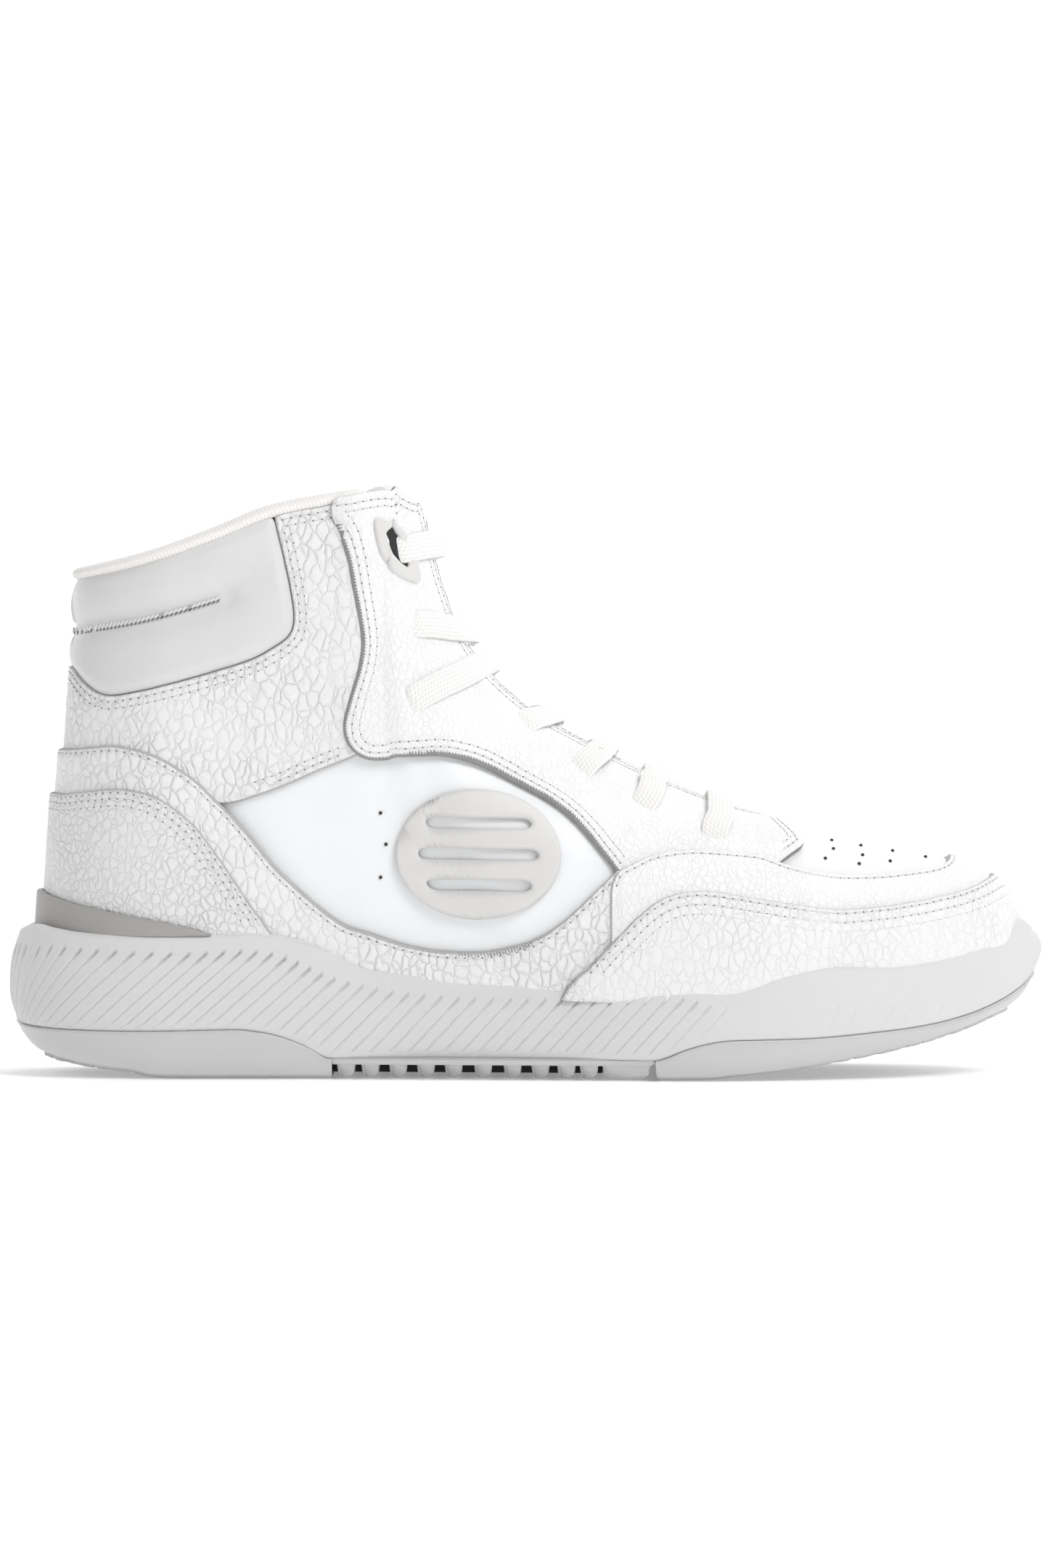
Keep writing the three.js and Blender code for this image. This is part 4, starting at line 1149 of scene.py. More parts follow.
def tongue_roll():
    points = []
    steps = np.linspace(-1, 1, 61)
    for t in steps:
        y = ROLL_HALF * math.sin(t * math.pi / 2)
        shrink = max(0.02, math.cos(t * math.pi / 2)) ** 0.35
        soft = 1 + 0.03 * math.sin(9 * t + 1) + 0.02 * math.sin(23 * t)
        for k in range(ROLL_SIDES):
            angle = 2 * math.pi * k / ROLL_SIDES
            x = -40.3 - 5.4 * (y / 17) ** 2 + 3.7 * shrink * soft * math.cos(angle)
            z = TONGUE_TOP - 3.5 + 3.4 * shrink * soft * math.sin(angle) - 0.7 * (y / 17) ** 2
            points.append((x, y, z))
    count = len(steps)
    faces = []
    for i in range(count - 1):
        for k in range(ROLL_SIDES):
            a, b = i * ROLL_SIDES + k, i * ROLL_SIDES + (k + 1) % ROLL_SIDES
            faces.append((a, a + ROLL_SIDES, b + ROLL_SIDES, b))
    faces.append(tuple(range(ROLL_SIDES)))
    faces.append(tuple(reversed(range((count - 1) * ROLL_SIDES, count * ROLL_SIDES))))
    return np.array(points), faces


roll_points, roll_faces = tongue_roll()
tongue_top = make_object("tongue_top_roll", put_right(roll_points), roll_faces, [PAD_LEATHER])
print("tongue roll", len(roll_faces), "faces")

# %% [markdown]
# The laces are flat woven straps, 8 mm wide. Each one comes up through a hole of the eyestay, goes slanting
# over its edge and across the tongue, and dives under the other eyestay towards the next hole. So every row
# is a cross, with one strap over the other on the ridge. The ends are tucked inside.

# %% Laces
LACE_WIDTH = 8.0
LACE_THICK = 1.5


def at_point(x, z, height):
    """The point at a height over (x, z) of the outer side, drawn in side view, and the outward way there."""
    gap = (GRID[..., 0] - x) ** 2 + (GRID[..., 2] - z) ** 2
    i, j = np.unravel_index(gap.argmin(), gap.shape)
    q, w = GRID_Q[i : i + 1], GRID_W[j : j + 1]
    return skin(q, w, np.array([height]))[0], slopes(q, w)[2][0]


def strap(route, wide=LACE_WIDTH, thick=LACE_THICK):
    """A flat strap along a route of 3-D points and face normals, with rounded edges."""
    place, up = route
    tangent = np.gradient(place, axis=0)
    tangent /= np.linalg.norm(tangent, axis=1, keepdims=True)
    up = up - (up * tangent).sum(1, keepdims=True) * tangent
    up /= np.linalg.norm(up, axis=1, keepdims=True)
    across = np.cross(tangent, up)
    section = []
    for k in range(14):
        angle = 2 * math.pi * k / 14
        c, s = math.cos(angle), math.sin(angle)
        section.append((wide / 2 * math.copysign(abs(c) ** 0.45, c),
                        thick / 2 * math.copysign(abs(s) ** 0.8, s)))
    count = len(section)
    points = np.vstack([place[i] + across[i] * a + up[i] * b
                        for i in range(len(place)) for a, b in section])
    faces = []
    for i in range(len(place) - 1):
        for k in range(count):
            a, b = i * count + k, i * count + (k + 1) % count
            faces.append((a, b, b + count, a + count))
    faces.append(tuple(reversed(range(count))))
    faces.append(tuple((len(place) - 1) * count + k for k in range(count)))
    length = np.r_[0, np.cumsum(np.linalg.norm(np.diff(place, axis=0), axis=1))]
    u = np.tile([0.5 + a / wide for a, _ in section], len(place))
    v = np.repeat(length / 1.2, count)
    return points, faces, np.stack([u, v], -1)


def joined(name, parts, material):
    """Straps as one mesh, with the weave's map."""
    points, faces, uvs = [], [], []
    start = 0
    for place, face, uv_part in parts:
        points.append(place)
        faces += [tuple(start + v for v in f) for f in face]
        uvs.append(uv_part)
        start += len(place)
    points, uvs = np.vstack(points), np.vstack(uvs)
    obj = make_object(name, put_right(points), faces, [material])
    layer = obj.data.uv_layers.new(name="weave")
    loops = np.zeros(len(obj.data.loops), int)
    obj.data.loops.foreach_get("vertex_index", loops)
    layer.data.foreach_set("uv", uvs[loops].ravel())
    return obj


ROWS = [
    ((-38, 156.3), (-36, 148.3), (20, 4)), ((-33.5, 134), (-31, 126.5), (22, 2)),
    ((-35, 112), (-31, 106), (24, 12.5)), ((-3.5, 103.3), (4, 98.5), (12, 11)),
    ((14.3, 92.3), (21.5, 87.3), (10, 15)), ((31, 82.7), (38.5, 79.2), (6, 13)),
    ((51.3, 73.5), (58, 70.8), (4, 14)),
]


ridge_q = np.linspace(6.7, 15, 400)
ridge_place, ridge_up = skin(ridge_q, np.full(400, 0.9999)), slopes(ridge_q, np.full(400, 0.9999))[2]
EYESTAY_OVER = 3.4 + LACE_THICK * 0.55


def on_ridge(x, z):
    """The place on the ridge nearest to a point of the side view, and the way up there."""
    k = ((ridge_place[:, 0] - x) ** 2 + (ridge_place[:, 2] - z) ** 2).argmin()
    return ridge_place[k] * [1, 0, 1], ridge_up[k] * [1, 0, 1]


def cross_strap(row, over, flip):
    """One strap: out of its hole, over the eyestay's edge and the ridge, and down under the other eyestay."""
    (ax, az), (bx, bz), (dx, dz) = ROWS[row]
    start = np.array([(ax + bx) / 2, (az + bz) / 2])
    top, up = on_ridge(*(start + (dx, dz)))
    way = top[[0, 2]] - start
    reach = np.linalg.norm(way)
    way /= reach
    stops = [(-5.0, 0.5), (-2.1, 3.4), (0.5, EYESTAY_OVER)]
    stops += [(reach * share, EYESTAY_OVER) for share in (0.3, 0.45, 0.6)] + [(reach * 0.8, 3.9)]
    places, ups = [], []
    for distance, height in stops:
        place, outward = at_point(*(start + way * distance), height)
        places.append(place)
        ups.append(outward)
    places.append(top + up * (2.6 + over))
    ups.append(up)
    turn = np.array([1, -1, 1])
    drop = np.array([2.5, 0, -1.5]) if row else np.array([0.5, 0, -0.5])
    for k, sink in ((6, 1.4), (5, 3.0), (4, 3.7), (3, 4.3), (2, 4.8)):
        places.append(places[k] * turn + drop * (7 - k) / 4 - ups[k] * turn * sink)
        ups.append(ups[k] * turn)
    places, ups = spline(np.array(places), 8), spline(np.array(ups), 8)
    if flip:
        places, ups = places * turn, ups * turn
    for _ in range(6):
        places[1:-1] = (places[:-2] + 2 * places[1:-1] + places[2:]) / 4
        ups[1:-1] = (ups[:-2] + 2 * ups[1:-1] + ups[2:]) / 4
    return strap((places, ups))


lace_rows = []
for k in range(len(ROWS)):
    parts = [cross_strap(k, 0.9, False), cross_strap(k, -0.7, True)]
    lace_rows.append(joined(f"lace_cross_{k + 1}", parts, LACE))
    print("lace row", k + 1, len(lace_rows[-1].data.polygons), "faces")

# %% [markdown]
# At the top of the eyestay a moulded loop holds the first row. Its window is a little wider than the lace,
# and a dark sheet under it is painted shade.

# %% Lace loops and vent insert
CAGE = closed(curve(
    "-44 162.5 -41 161.7 -37 160 -34 157 -32 153 -30.8 148 -30 143.3"
    " -34 144 -38.5 146.5 -41 150 -43 156 -44 162.5"
))
CAGE_WINDOW = curve(
    "-41.4 160.2 -38.6 158.9 -36 156.2 -34.2 152.2 -33 147.4 -35.2 148 -37.6 150.2 -39.6 154 -41.4 160.2"
)
cage = panel("lace_loop", minus(side(CAGE), side(CAGE_WINDOW)), level(4.7), 1.9, [TRIM], rim=0.7,
             edge_rows=[0.15, 0.4, 0.8],
             one_side="both")
# A dark sheet under the loop's window is painted shade.
loop_window_shade = panel("lace_loop_painted_shade", side(CAGE_WINDOW), level(3.55), 0.4, [HOLE_SHADE], rim=0,
                   edge_rows=[], one_side="both")
VENT = closed([(-14 + 24 * math.cos(a), 65 + 19 * math.sin(a))
               for a in np.linspace(0, 2 * math.pi, 60, endpoint=False)])


def vent_region(place):
    field = side(VENT)(place)
    x, z = place[..., 0] + 14, place[..., 2] - 65
    for rise in (-9, 0, 9):
        half = 18 * math.sqrt(1 - (rise / 19) ** 2) - 1.6
        field = np.minimum(field, np.hypot(np.maximum(np.abs(x) - half, 0), z - rise) - 1.6)
    return field


def vent_relief(place, away, along):
    return 0.35 * np.exp(-(((away - 1.1) / 0.6) ** 2))


vent = panel("vent_plate", vent_region, level(1.5), 1.3, [TRIM], rim=0.7, edge_rows=[0.15, 0.4, 0.8, 1.2],
             one_side="both", relief=vent_relief)

# %% [markdown]
# Thread stitches and needle holes repeat hundreds of times, so a small node tree places one shape on a list
# of points and turns it along the seam. It is used for the thread, and for the dark spots of painted shade in
# the holes and the perforations alike.

# %% Repeated small shapes


def repeat_tree(name, material):
    """Places a small capsule on each point, lying along the point's `way` and standing on its `up`."""
    tree = bpy.data.node_groups.new(name, "GeometryNodeTree")
    tree.interface.new_socket("Geometry", in_out="INPUT", socket_type="NodeSocketGeometry")
    for label, start in (("Length", 1.8), ("Width", 0.45), ("Lift", 0.1)):
        socket = tree.interface.new_socket(label, in_out="INPUT", socket_type="NodeSocketFloat")
        socket.default_value = start
    tree.interface.new_socket("Geometry", in_out="OUTPUT", socket_type="NodeSocketGeometry")

    def node(kind, settings=None, values=None):
        made = tree.nodes.new(kind)
        for key, value in (settings or {}).items():
            setattr(made, key, value)
        for key, value in (values or {}).items():
            if isinstance(value, bpy.types.NodeSocket):
                tree.links.new(value, made.inputs[key])
            else:
                made.inputs[key].default_value = value
        return made

    entry = node("NodeGroupInput")
    ball = node("GeometryNodeMeshIcoSphere", None, {"Radius": 0.5 * MM, "Subdivisions": 2})
    up = node("GeometryNodeInputNamedAttribute", {"data_type": "FLOAT_VECTOR"}, {"Name": "up"})
    way = node("GeometryNodeInputNamedAttribute", {"data_type": "FLOAT_VECTOR"}, {"Name": "way"})
    first = node("FunctionNodeAlignRotationToVector", {"axis": "Z"}, {"Vector": up.outputs["Attribute"]})
    turn = node("FunctionNodeAlignRotationToVector", {"axis": "X", "pivot_axis": "Z"},
                {"Rotation": first.outputs[0], "Vector": way.outputs["Attribute"]})
    size = node("ShaderNodeCombineXYZ", None,
                {"X": entry.outputs["Length"], "Y": entry.outputs["Width"], "Z": entry.outputs["Width"]})
    lift = node("ShaderNodeVectorMath", {"operation": "SCALE"},
                {0: up.outputs["Attribute"], "Scale": entry.outputs["Lift"]})
    moved = node("GeometryNodeSetPosition", None,
                 {"Geometry": entry.outputs["Geometry"], "Offset": lift.outputs[0]})
    points = node("GeometryNodeMeshToPoints", None, {"Mesh": moved.outputs[0]})
    placed = node("GeometryNodeInstanceOnPoints", None,
                  {"Points": points.outputs[0], "Instance": ball.outputs["Mesh"],
                   "Rotation": turn.outputs[0],
                   "Scale": size.outputs[0]})
    real = node("GeometryNodeRealizeInstances", None, {"Geometry": placed.outputs[0]})
    painted = node("GeometryNodeSetMaterial", None, {"Geometry": real.outputs[0], "Material": material})
    node("NodeGroupOutput", None, {"Geometry": painted.outputs[0]})
    return tree


def repeated(name, spots, tree, length, width, lift):
    """A mesh of small shapes at the spots, which hold a place, an up and a way each."""
    spots = np.asarray(spots, float)
    mesh = bpy.data.meshes.new(name + "_points")
    mesh.from_pydata(put_right(spots[:, :3]).tolist(), [], [])
    for label, columns in (("up", spots[:, 3:6]), ("way", spots[:, 6:9])):
        mesh.attributes.new(label, "FLOAT_VECTOR", "POINT").data.foreach_set("vector", columns.ravel())
    seed = bpy.data.objects.new(name + "_points", mesh)
    bpy.context.collection.objects.link(seed)
    grower = seed.modifiers.new("repeat", "NODES")
    grower.node_group = tree
    names = {item.name: item.identifier for item in tree.interface.items_tree if item.in_out == "INPUT"}
    for label, value in (("Length", length), ("Width", width), ("Lift", lift * MM)):
        grower[names[label]] = float(value)
    graph = bpy.context.evaluated_depsgraph_get()
    made = bpy.data.meshes.new_from_object(seed.evaluated_get(graph))
    made.name = name
    made.polygons.foreach_set("use_smooth", [True] * len(made.polygons))
    bpy.data.objects.remove(seed)
    obj = bpy.data.objects.new(name, made)
    bpy.context.collection.objects.link(obj)
    print(name, len(spots), "shapes,", len(made.polygons), "faces")
    return obj


def both_sides(place, up, way):
    """One spot for a repeated shape, on the outer side and on the inner side."""
    return [np.r_[place * [1, flip, 1], up * [1, flip, 1], way] for flip in (1, -1)]


stitch_tree = repeat_tree("stitch", THREAD)
shade_mark_tree = repeat_tree("seam_painted_shade", SEAM_SHADE)
hole_shade_tree = repeat_tree("hole_painted_shade", HOLE_SHADE)
seam_points = np.vstack(seams)
stitches = repeated("upper_stitches", seam_points, stitch_tree, length=1.9, width=0.55, lift=0.02)
# Between the stitches, dark spots paint the shade in the needle holes.
needle_shade_points = seam_points.copy()
needle_shade_points[:, :3] += seam_points[:, 6:9] * (PITCH / 2)
needle_shades = repeated("needle_hole_shade_marks", needle_shade_points, shade_mark_tree, length=0.62, width=0.42, lift=-0.04)

CHANNEL_WAY = np.array([0.75, 0, 0.65])
CHANNEL_SHADOW_SHIFT = [0.3, 0, -0.75]
channel_spots = [spot for x, z in channel_thread for spot in both_sides(*at_point(x, z, 1.15), CHANNEL_WAY)]
channel_stitches = repeated("collar_channel_thread", channel_spots, stitch_tree, length=2.1, width=0.7,
                            lift=0.0)
# Just below the thread, a line of dark capsules is the painted shadow of the sewn channel.
channel_spots = [np.r_[spot[:3] + CHANNEL_SHADOW_SHIFT, spot[3:]] for spot in channel_spots]
channel_shadow = repeated("collar_channel_painted_shadow", channel_spots, shade_mark_tree, length=1.4, width=0.5,
                         lift=-0.12)

# %% [markdown]
# The sole is one cup, moulded in foam, with rubber under the heel and the ball of the foot and a row of
# rubber lugs under the waist. Its side leans in towards the top, and the top edge is rounded.

# %% The sole's shape
sole_curve = height_curve(
    "-151.2 15 -148 9.5 -143 6 -130 3.3 -115 1.6 -104 0 -60 0 40 0 60 1 80 3.3 100 6.5"
    " 120 10.9 135 15.8 146 21 151.2 32"
)


def sole_bottom(x):
    return np.maximum(0, sole_curve(x))


split_heel = curve(
    "-151.4 17 -149 15.8 -146 15 -140 14.5 -130 14.1 -110 14 -85 14.5 -80 14.2 -75 13.5"
    " -70 12.2 -65 10.3 -62 8.8 -58 6.3"
)
split_toe = curve(
    "38 6.2 41 7.2 44 8.5 48 9.9 52 10.9 56 11.6 60 11.9 80 12.3 90 12.9 100 13.8"
    " 110 14.8 120 16.3 130 18.7 135 20.5 140 22.7 145 25.8 148 28.7 151.4 31.5"
)
split_all = np.vstack([split_heel, [(-55, 6.0), (36, 6.0)], split_toe])


def split_line(x):
    return np.interp(x, split_all[:, 0], split_all[:, 1])


step = np.linalg.norm(np.diff(SOLE_PLAN, axis=0), axis=1)
plan_run = np.r_[0, np.cumsum(step)]
COLUMNS = int(plan_run[-1] / 0.7)
at = np.linspace(0, plan_run[-1], COLUMNS)
PLAN = np.stack([np.interp(at, plan_run, SOLE_PLAN[:, k]) for k in (0, 1)], -1)
for _ in range(12):
    PLAN[1:-1] = (PLAN[:-2] + 2 * PLAN[1:-1] + PLAN[2:]) / 4
way = np.gradient(PLAN, axis=0)
way[0], way[-1] = (0, 1), (0, -1)
way /= np.linalg.norm(way, axis=1, keepdims=True)
PLAN_IN = np.stack([way[:, 1], -way[:, 0]], -1)
WALL = spline([(10, 0), (3.4, 0.05), (0.9, 0.2), (0, 0.38), (0.6, 0.7), (3.2, 1)], 12)


def wall_inset(share):
    return np.interp(share, WALL[:, 1], WALL[:, 0])


def sole_point(column, inset, z):
    """A point of the sole: how far inside the plan outline, and how high."""
    x = PLAN[column, 0] + PLAN_IN[column, 0] * inset
    y = np.maximum(PLAN[column, 1] + PLAN_IN[column, 1] * inset, 0)
    y = np.where((column == 0) | (column == COLUMNS - 1), 0, y)
    return np.stack([x, -y, z], -1)

# %% [markdown]
# Slanting score lines run down the midsole's side, close together. Each starts in a small slanting pit and
# ends in a raised dot above the rubber. The line's number at any point of the side is worked out first.

# %% Midsole
GROOVE_TOPS = np.array(
    "-171 -166 -161 -156 -151 -146.5 -142.5 -139 -135 -130 -125 -119.5 -114 -108.5 -103 -97.5 -92.5"
    " -87.5 -82.5 -78 -73.5 -69.5 -66 -62.5 -59 -55.5 -51.5 -47.5 -43.5 -39 -34.5 -30 -25 -20 -15.5"
    " -10.3 -5.2 -0.3 4.7 9.7 14.8 20 25 30.5 35.5 40.3 44.5 48.5 52.5 57 62".split(),
    float,
)
groove_high = height_curve(
    "-151 37.5 -139 37.5 -119.5 36.5 -97.5 36 -82.5 36.7 -73.5 36 -66 33.5 -59 30.3 -51.5 27.7 -39 25.1"
    " -25 23.6 -10 23 9.7 23.1 25 24 35.5 24.5 44.5 23.5 57 20.9 70 20.9"
)


def groove_low(x):
    return split_line(x) + 0.9


def slant(x):
    return 1.13 - 0.21 * ramp(x, -70, -20)


def sole_at(travelled, inset, z):
    """A point of the sole, by how far round the plan outline it lies."""
    x, y, nx, ny = (np.interp(travelled, at, v)
                    for v in (PLAN[:, 0], PLAN[:, 1], PLAN_IN[:, 0], PLAN_IN[:, 1]))
    side_y = np.maximum(y + ny * inset, 0)
    side_y = np.where((travelled <= 0) | (travelled >= at[-1]), 0, side_y)
    return np.stack([x + nx * inset, -side_y, z], -1)


# Columns of the mesh lean with the score lines, and crowd round each one.
LINE_STARTS = np.r_[np.arange(0, 25, 5.0), np.interp(GROOVE_TOPS[GROOVE_TOPS > -144], PLAN[:, 0], at)]
LINE_STARTS = np.r_[LINE_STARTS, np.arange(LINE_STARTS[-1] + 5.5, at[-1] - 3, 5.5), at[-1]]
FRACTIONS = np.array([0, 0.045, 0.09, 0.14, 0.25, 0.5, 0.75, 0.86, 0.91, 0.955])
number = np.r_[(np.arange(len(LINE_STARTS) - 1)[:, None] + FRACTIONS).ravel(), len(LINE_STARTS) - 1]
line_top = np.interp(number, np.arange(len(LINE_STARTS)), LINE_STARTS)
top_x = np.interp(line_top, at, PLAN[:, 0])
lean = slant(top_x) * ramp(line_top, 0, 62) * (1 - 0.5 * ramp(top_x, 50, 90)) * (1 - ramp(top_x, 120, 149))
TOP_SHARE = 0.955


def wall_column(share_up):
    """Where each leaning column lies at a share of the way from the rubber's edge to the top edge."""
    travelled = line_top.copy()
    for _ in range(5):
        x = np.interp(travelled, at, PLAN[:, 0])
        low, high = sole_bottom(x), sole_top(x)
        first = (split_line(x) - low) / (high - low)
        share = first + (TOP_SHARE - first) * share_up
        z = low + (high - low) * share
        travelled = np.clip(line_top - lean * np.maximum(groove_high(top_x) - z, 0), 0, at[-1])
        travelled = np.where(line_top <= 0, 0, np.where(line_top >= at[-1], at[-1], travelled))
    return travelled, wall_inset(share), z


WALL_STEPS = 42
rows = []
travelled, inset, z = wall_column(0.0)
for more, lift in ((16, 1.0), (9, 0.4), (2.5, 0.1)):
    rows.append((travelled, inset + more, z + lift))
for k in range(WALL_STEPS):
    travelled, inset, z = wall_column(k / (WALL_STEPS - 1))
    rows.append((travelled, inset + (0.5 if k == 0 else 0.0), z))
for k in range(1, 8):
    angle = k / 7 * math.pi * 0.62
    rows.append((travelled, inset + 2.6 * (1 - math.cos(angle)), z + 1.9 * math.sin(angle)))
rows.append((travelled, inset + 7.0, z - 3.5))
rows.append((travelled, inset + 9.5, z - 9))
wide = len(rows)
points = np.stack([sole_at(*row) for row in rows], 1)
stretch = np.repeat(number[:, None], wide, 1)
high_at = np.repeat(groove_high(top_x)[:, None], wide, 1)
fade_at = np.repeat((1 - ramp(top_x, 46, 64) + 0.28 * ramp(top_x, 80, 90)
                     * (1 - ramp(top_x, 140, 148)))[:, None], wide, 1)
pit_at = np.repeat((1 - 0.6 * ramp(top_x, -72, -45))[:, None], wide, 1)
points, values = points.reshape(-1, 3), [stretch.ravel(), high_at.ravel(), fade_at.ravel(), pit_at.ravel()]
faces = []
for i in range(len(number) - 1):
    for k in range(wide):
        a, b = i * wide + k, i * wide + (k + 1) % wide
        faces.append((a, a + wide, b + wide, b))
off_middle = np.abs(points[:, 1]) >= MIDDLE
points, faces, picks = mirrored(points, faces, [0] * len(faces))
number_at, high_at, fade_at, pit_at = (np.r_[v, v[off_middle]] for v in values)
midsole = make_object("cup_midsole", put_right(points), faces, [MIDSOLE], picks)
x, z = points[:, 0], points[:, 2]
for label, values in (("number", number_at), ("below_top", high_at - z), ("above_low", z - groove_low(x)),
                      ("fade", fade_at), ("pit", pit_at)):
    layer = midsole.data.attributes.new(label, "FLOAT", "POINT")
    layer.data.foreach_set("value", values.astype(np.float32))


def groove_tree(name):
    """Cuts score lines where `number` is whole, between `above_low` and `below_top`."""
    tree = bpy.data.node_groups.new(name, "GeometryNodeTree")
    tree.interface.new_socket("Geometry", in_out="INPUT", socket_type="NodeSocketGeometry")
    for label, start_value in (("Depth", 0.6), ("Width", 0.09), ("Pit", 0.9), ("Step", 0.3), ("Dot", 0.3)):
        socket = tree.interface.new_socket(label, in_out="INPUT", socket_type="NodeSocketFloat")
        socket.default_value = start_value
    tree.interface.new_socket("Geometry", in_out="OUTPUT", socket_type="NodeSocketGeometry")
    nodes, links = tree.nodes, tree.links
    entry = nodes.new("NodeGroupInput")

    def read(label):
        made = nodes.new("GeometryNodeInputNamedAttribute")
        made.data_type = "FLOAT"
        made.inputs["Name"].default_value = label
        return made.outputs["Attribute"]

    def maths(operation, *values, clamp=False):
        made = nodes.new("ShaderNodeMath")
        made.operation = operation
        made.use_clamp = clamp
        for k, value in enumerate(values):
            if isinstance(value, bpy.types.NodeSocket):
                links.new(value, made.inputs[k])
            else:
                made.inputs[k].default_value = value
        return made.outputs[0]

    part = maths("FRACT", read("number"))
    offset = maths("ABSOLUTE", maths("SUBTRACT", part, 0.5))
    near = maths("SUBTRACT", 0.5, offset)
    line = maths("SUBTRACT", 1.0, maths("DIVIDE", near, entry.outputs["Width"]), clamp=True)
    below, above = read("below_top"), read("above_low")
    start = maths("MULTIPLY", maths("ADD", below, 0.6), 2.0, clamp=True)
    end = maths("MULTIPLY", maths("SUBTRACT", above, 0.8), 1.5, clamp=True)
    cut = maths("MULTIPLY", maths("MULTIPLY", line, start), end)
    bevel = maths("MULTIPLY", maths("MULTIPLY", part, entry.outputs["Step"]), maths("MULTIPLY", start, end))
    wide = maths("DIVIDE", maths("SUBTRACT", 0.14, near), 0.05, clamp=True)
    tall = maths("SUBTRACT", 1.8, maths("ABSOLUTE", maths("SUBTRACT", below, 0.9)), clamp=True)
    pit = maths("MULTIPLY", maths("MULTIPLY", wide, tall),
                maths("MULTIPLY", entry.outputs["Pit"], read("pit")))
    round_off = maths("MULTIPLY", maths("DIVIDE", maths("SUBTRACT", 0.14, near), 0.1, clamp=True),
                      maths("SUBTRACT", 1.0, maths("ABSOLUTE", above), clamp=True))
    dot = maths("MULTIPLY", maths("MULTIPLY", round_off, entry.outputs["Dot"]), read("pit"))
    depth = maths("ADD", maths("MULTIPLY", cut, entry.outputs["Depth"]), pit)
    depth = maths("MULTIPLY", maths("SUBTRACT", maths("ADD", bevel, dot), depth), read("fade"))
    normal_node = nodes.new("GeometryNodeInputNormal")
    offset_node = nodes.new("ShaderNodeVectorMath")
    offset_node.operation = "SCALE"
    links.new(normal_node.outputs[0], offset_node.inputs[0])
    links.new(maths("MULTIPLY", depth, MM), offset_node.inputs["Scale"])
    moved = nodes.new("GeometryNodeSetPosition")
    links.new(entry.outputs["Geometry"], moved.inputs["Geometry"])
    links.new(offset_node.outputs[0], moved.inputs["Offset"])
    painted = nodes.new("GeometryNodeSetMaterial")
    painted.inputs["Material"].default_value = MIDSOLE
    links.new(moved.outputs[0], painted.inputs["Geometry"])
    links.new(painted.outputs[0], nodes.new("NodeGroupOutput").inputs[0])
    return tree


def grown_by(obj, tree, **inputs):
    """Runs a node tree over a mesh and keeps the result as plain mesh."""
    grower = obj.modifiers.new("grow", "NODES")
    grower.node_group = tree
    names = {item.name: item.identifier for item in tree.interface.items_tree if item.in_out == "INPUT"}
    for label, value in inputs.items():
        grower[names[label]] = float(value)
    graph = bpy.context.evaluated_depsgraph_get()
    made = bpy.data.meshes.new_from_object(obj.evaluated_get(graph))
    obj.modifiers.clear()
    obj.data = made
    return obj


midsole = grown_by(midsole, groove_tree("score_lines"), Depth=0.5, Width=0.085, Pit=1.0, Step=0.14,
                   Dot=0.45)
print("midsole", len(midsole.data.polygons), "faces with score lines")

# %% [markdown]
# Rubber outsole: a thin shell that wraps up a little from the floor, with a herringbone of low ribs under it.

# %% Outsole
OUT_LIP = 0.45


def faces_outward(obj, merge=0.0, bevel=0.0):
    """Turns the faces outward, after doubles are merged and before edges are rounded. Both are in metres."""
    mesh = bmesh.new()
    mesh.from_mesh(obj.data)
    if merge:
        bmesh.ops.remove_doubles(mesh, verts=mesh.verts, dist=merge)
    bmesh.ops.recalc_face_normals(mesh, faces=mesh.faces)
    if bevel:
        bmesh.ops.bevel(mesh, geom=mesh.edges[:], offset=bevel, segments=2, affect="EDGES")
    mesh.to_mesh(obj.data)
    mesh.free()
    return obj


def floor_z(x, y):
    zig = np.abs(((y / 9.0) % 1) - 0.5) * 9.0
    rib = np.abs((((x + zig) / 6.5) % 1) - 0.5) * 2
    return 1.3 * ramp(rib, 0.55, 0.75)


def outsole(name, chosen):
    low = sole_bottom(PLAN[chosen, 0])
    high = sole_top(PLAN[chosen, 0])
    top = split_line(PLAN[chosen, 0]) - 0.15
    top_share = (top - low) / (high - low)
    out_rows = [(wall_inset(top_share) + 4.5, top + 0.1), (wall_inset(top_share) + 0.6, top + 0.1),
                (wall_inset(top_share) - OUT_LIP + 0.3, top - 0.05),
                (wall_inset(top_share) - OUT_LIP, top - 0.5)]
    for k in range(9, -1, -1):
        share = top_share * k / 10
        out_inset = np.maximum(wall_inset(share) - OUT_LIP, 0) if k else wall_inset(share)
        out_rows.append((out_inset, low + (high - low) * share))
    out_rows = [(inset, np.maximum(z, 0.0)) for inset, z in out_rows]
    points = np.stack([sole_point(chosen, inset, z) for inset, z in out_rows], 1)
    edge = points[:, -1]
    floor_rows = []
    for k in range(1, 25):
        part = edge.copy()
        part[:, 1] = edge[:, 1] * (1 - k / 24)
        part[:, 2] = sole_bottom(part[:, 0]) + floor_z(part[:, 0], part[:, 1]) * ramp(k, 0, 2)
        floor_rows.append(part)
    points = np.concatenate([points, np.stack(floor_rows, 1)], 1)
    wide = points.shape[1]
    faces = []
    for i in range(len(chosen) - 1):
        for k in range(wide - 1):
            a, b = i * wide + k, i * wide + k + 1
            faces.append((a, b, b + wide, a + wide))
    flat = points.reshape(-1, 3)
    flat, faces, picks = mirrored(flat, faces, [0] * len(faces))
    print(name, len(faces), "faces")
    return faces_outward(make_object(name, put_right(flat), faces, [RUBBER], picks), merge=1e-6)


heel_columns = np.flatnonzero(PLAN[:, 0] < -55.5)
toe_columns = np.flatnonzero(PLAN[:, 0] > 36.5)
outsole_heel = outsole("rubber_heel", heel_columns)
outsole_toe = outsole("rubber_forefoot", toe_columns)
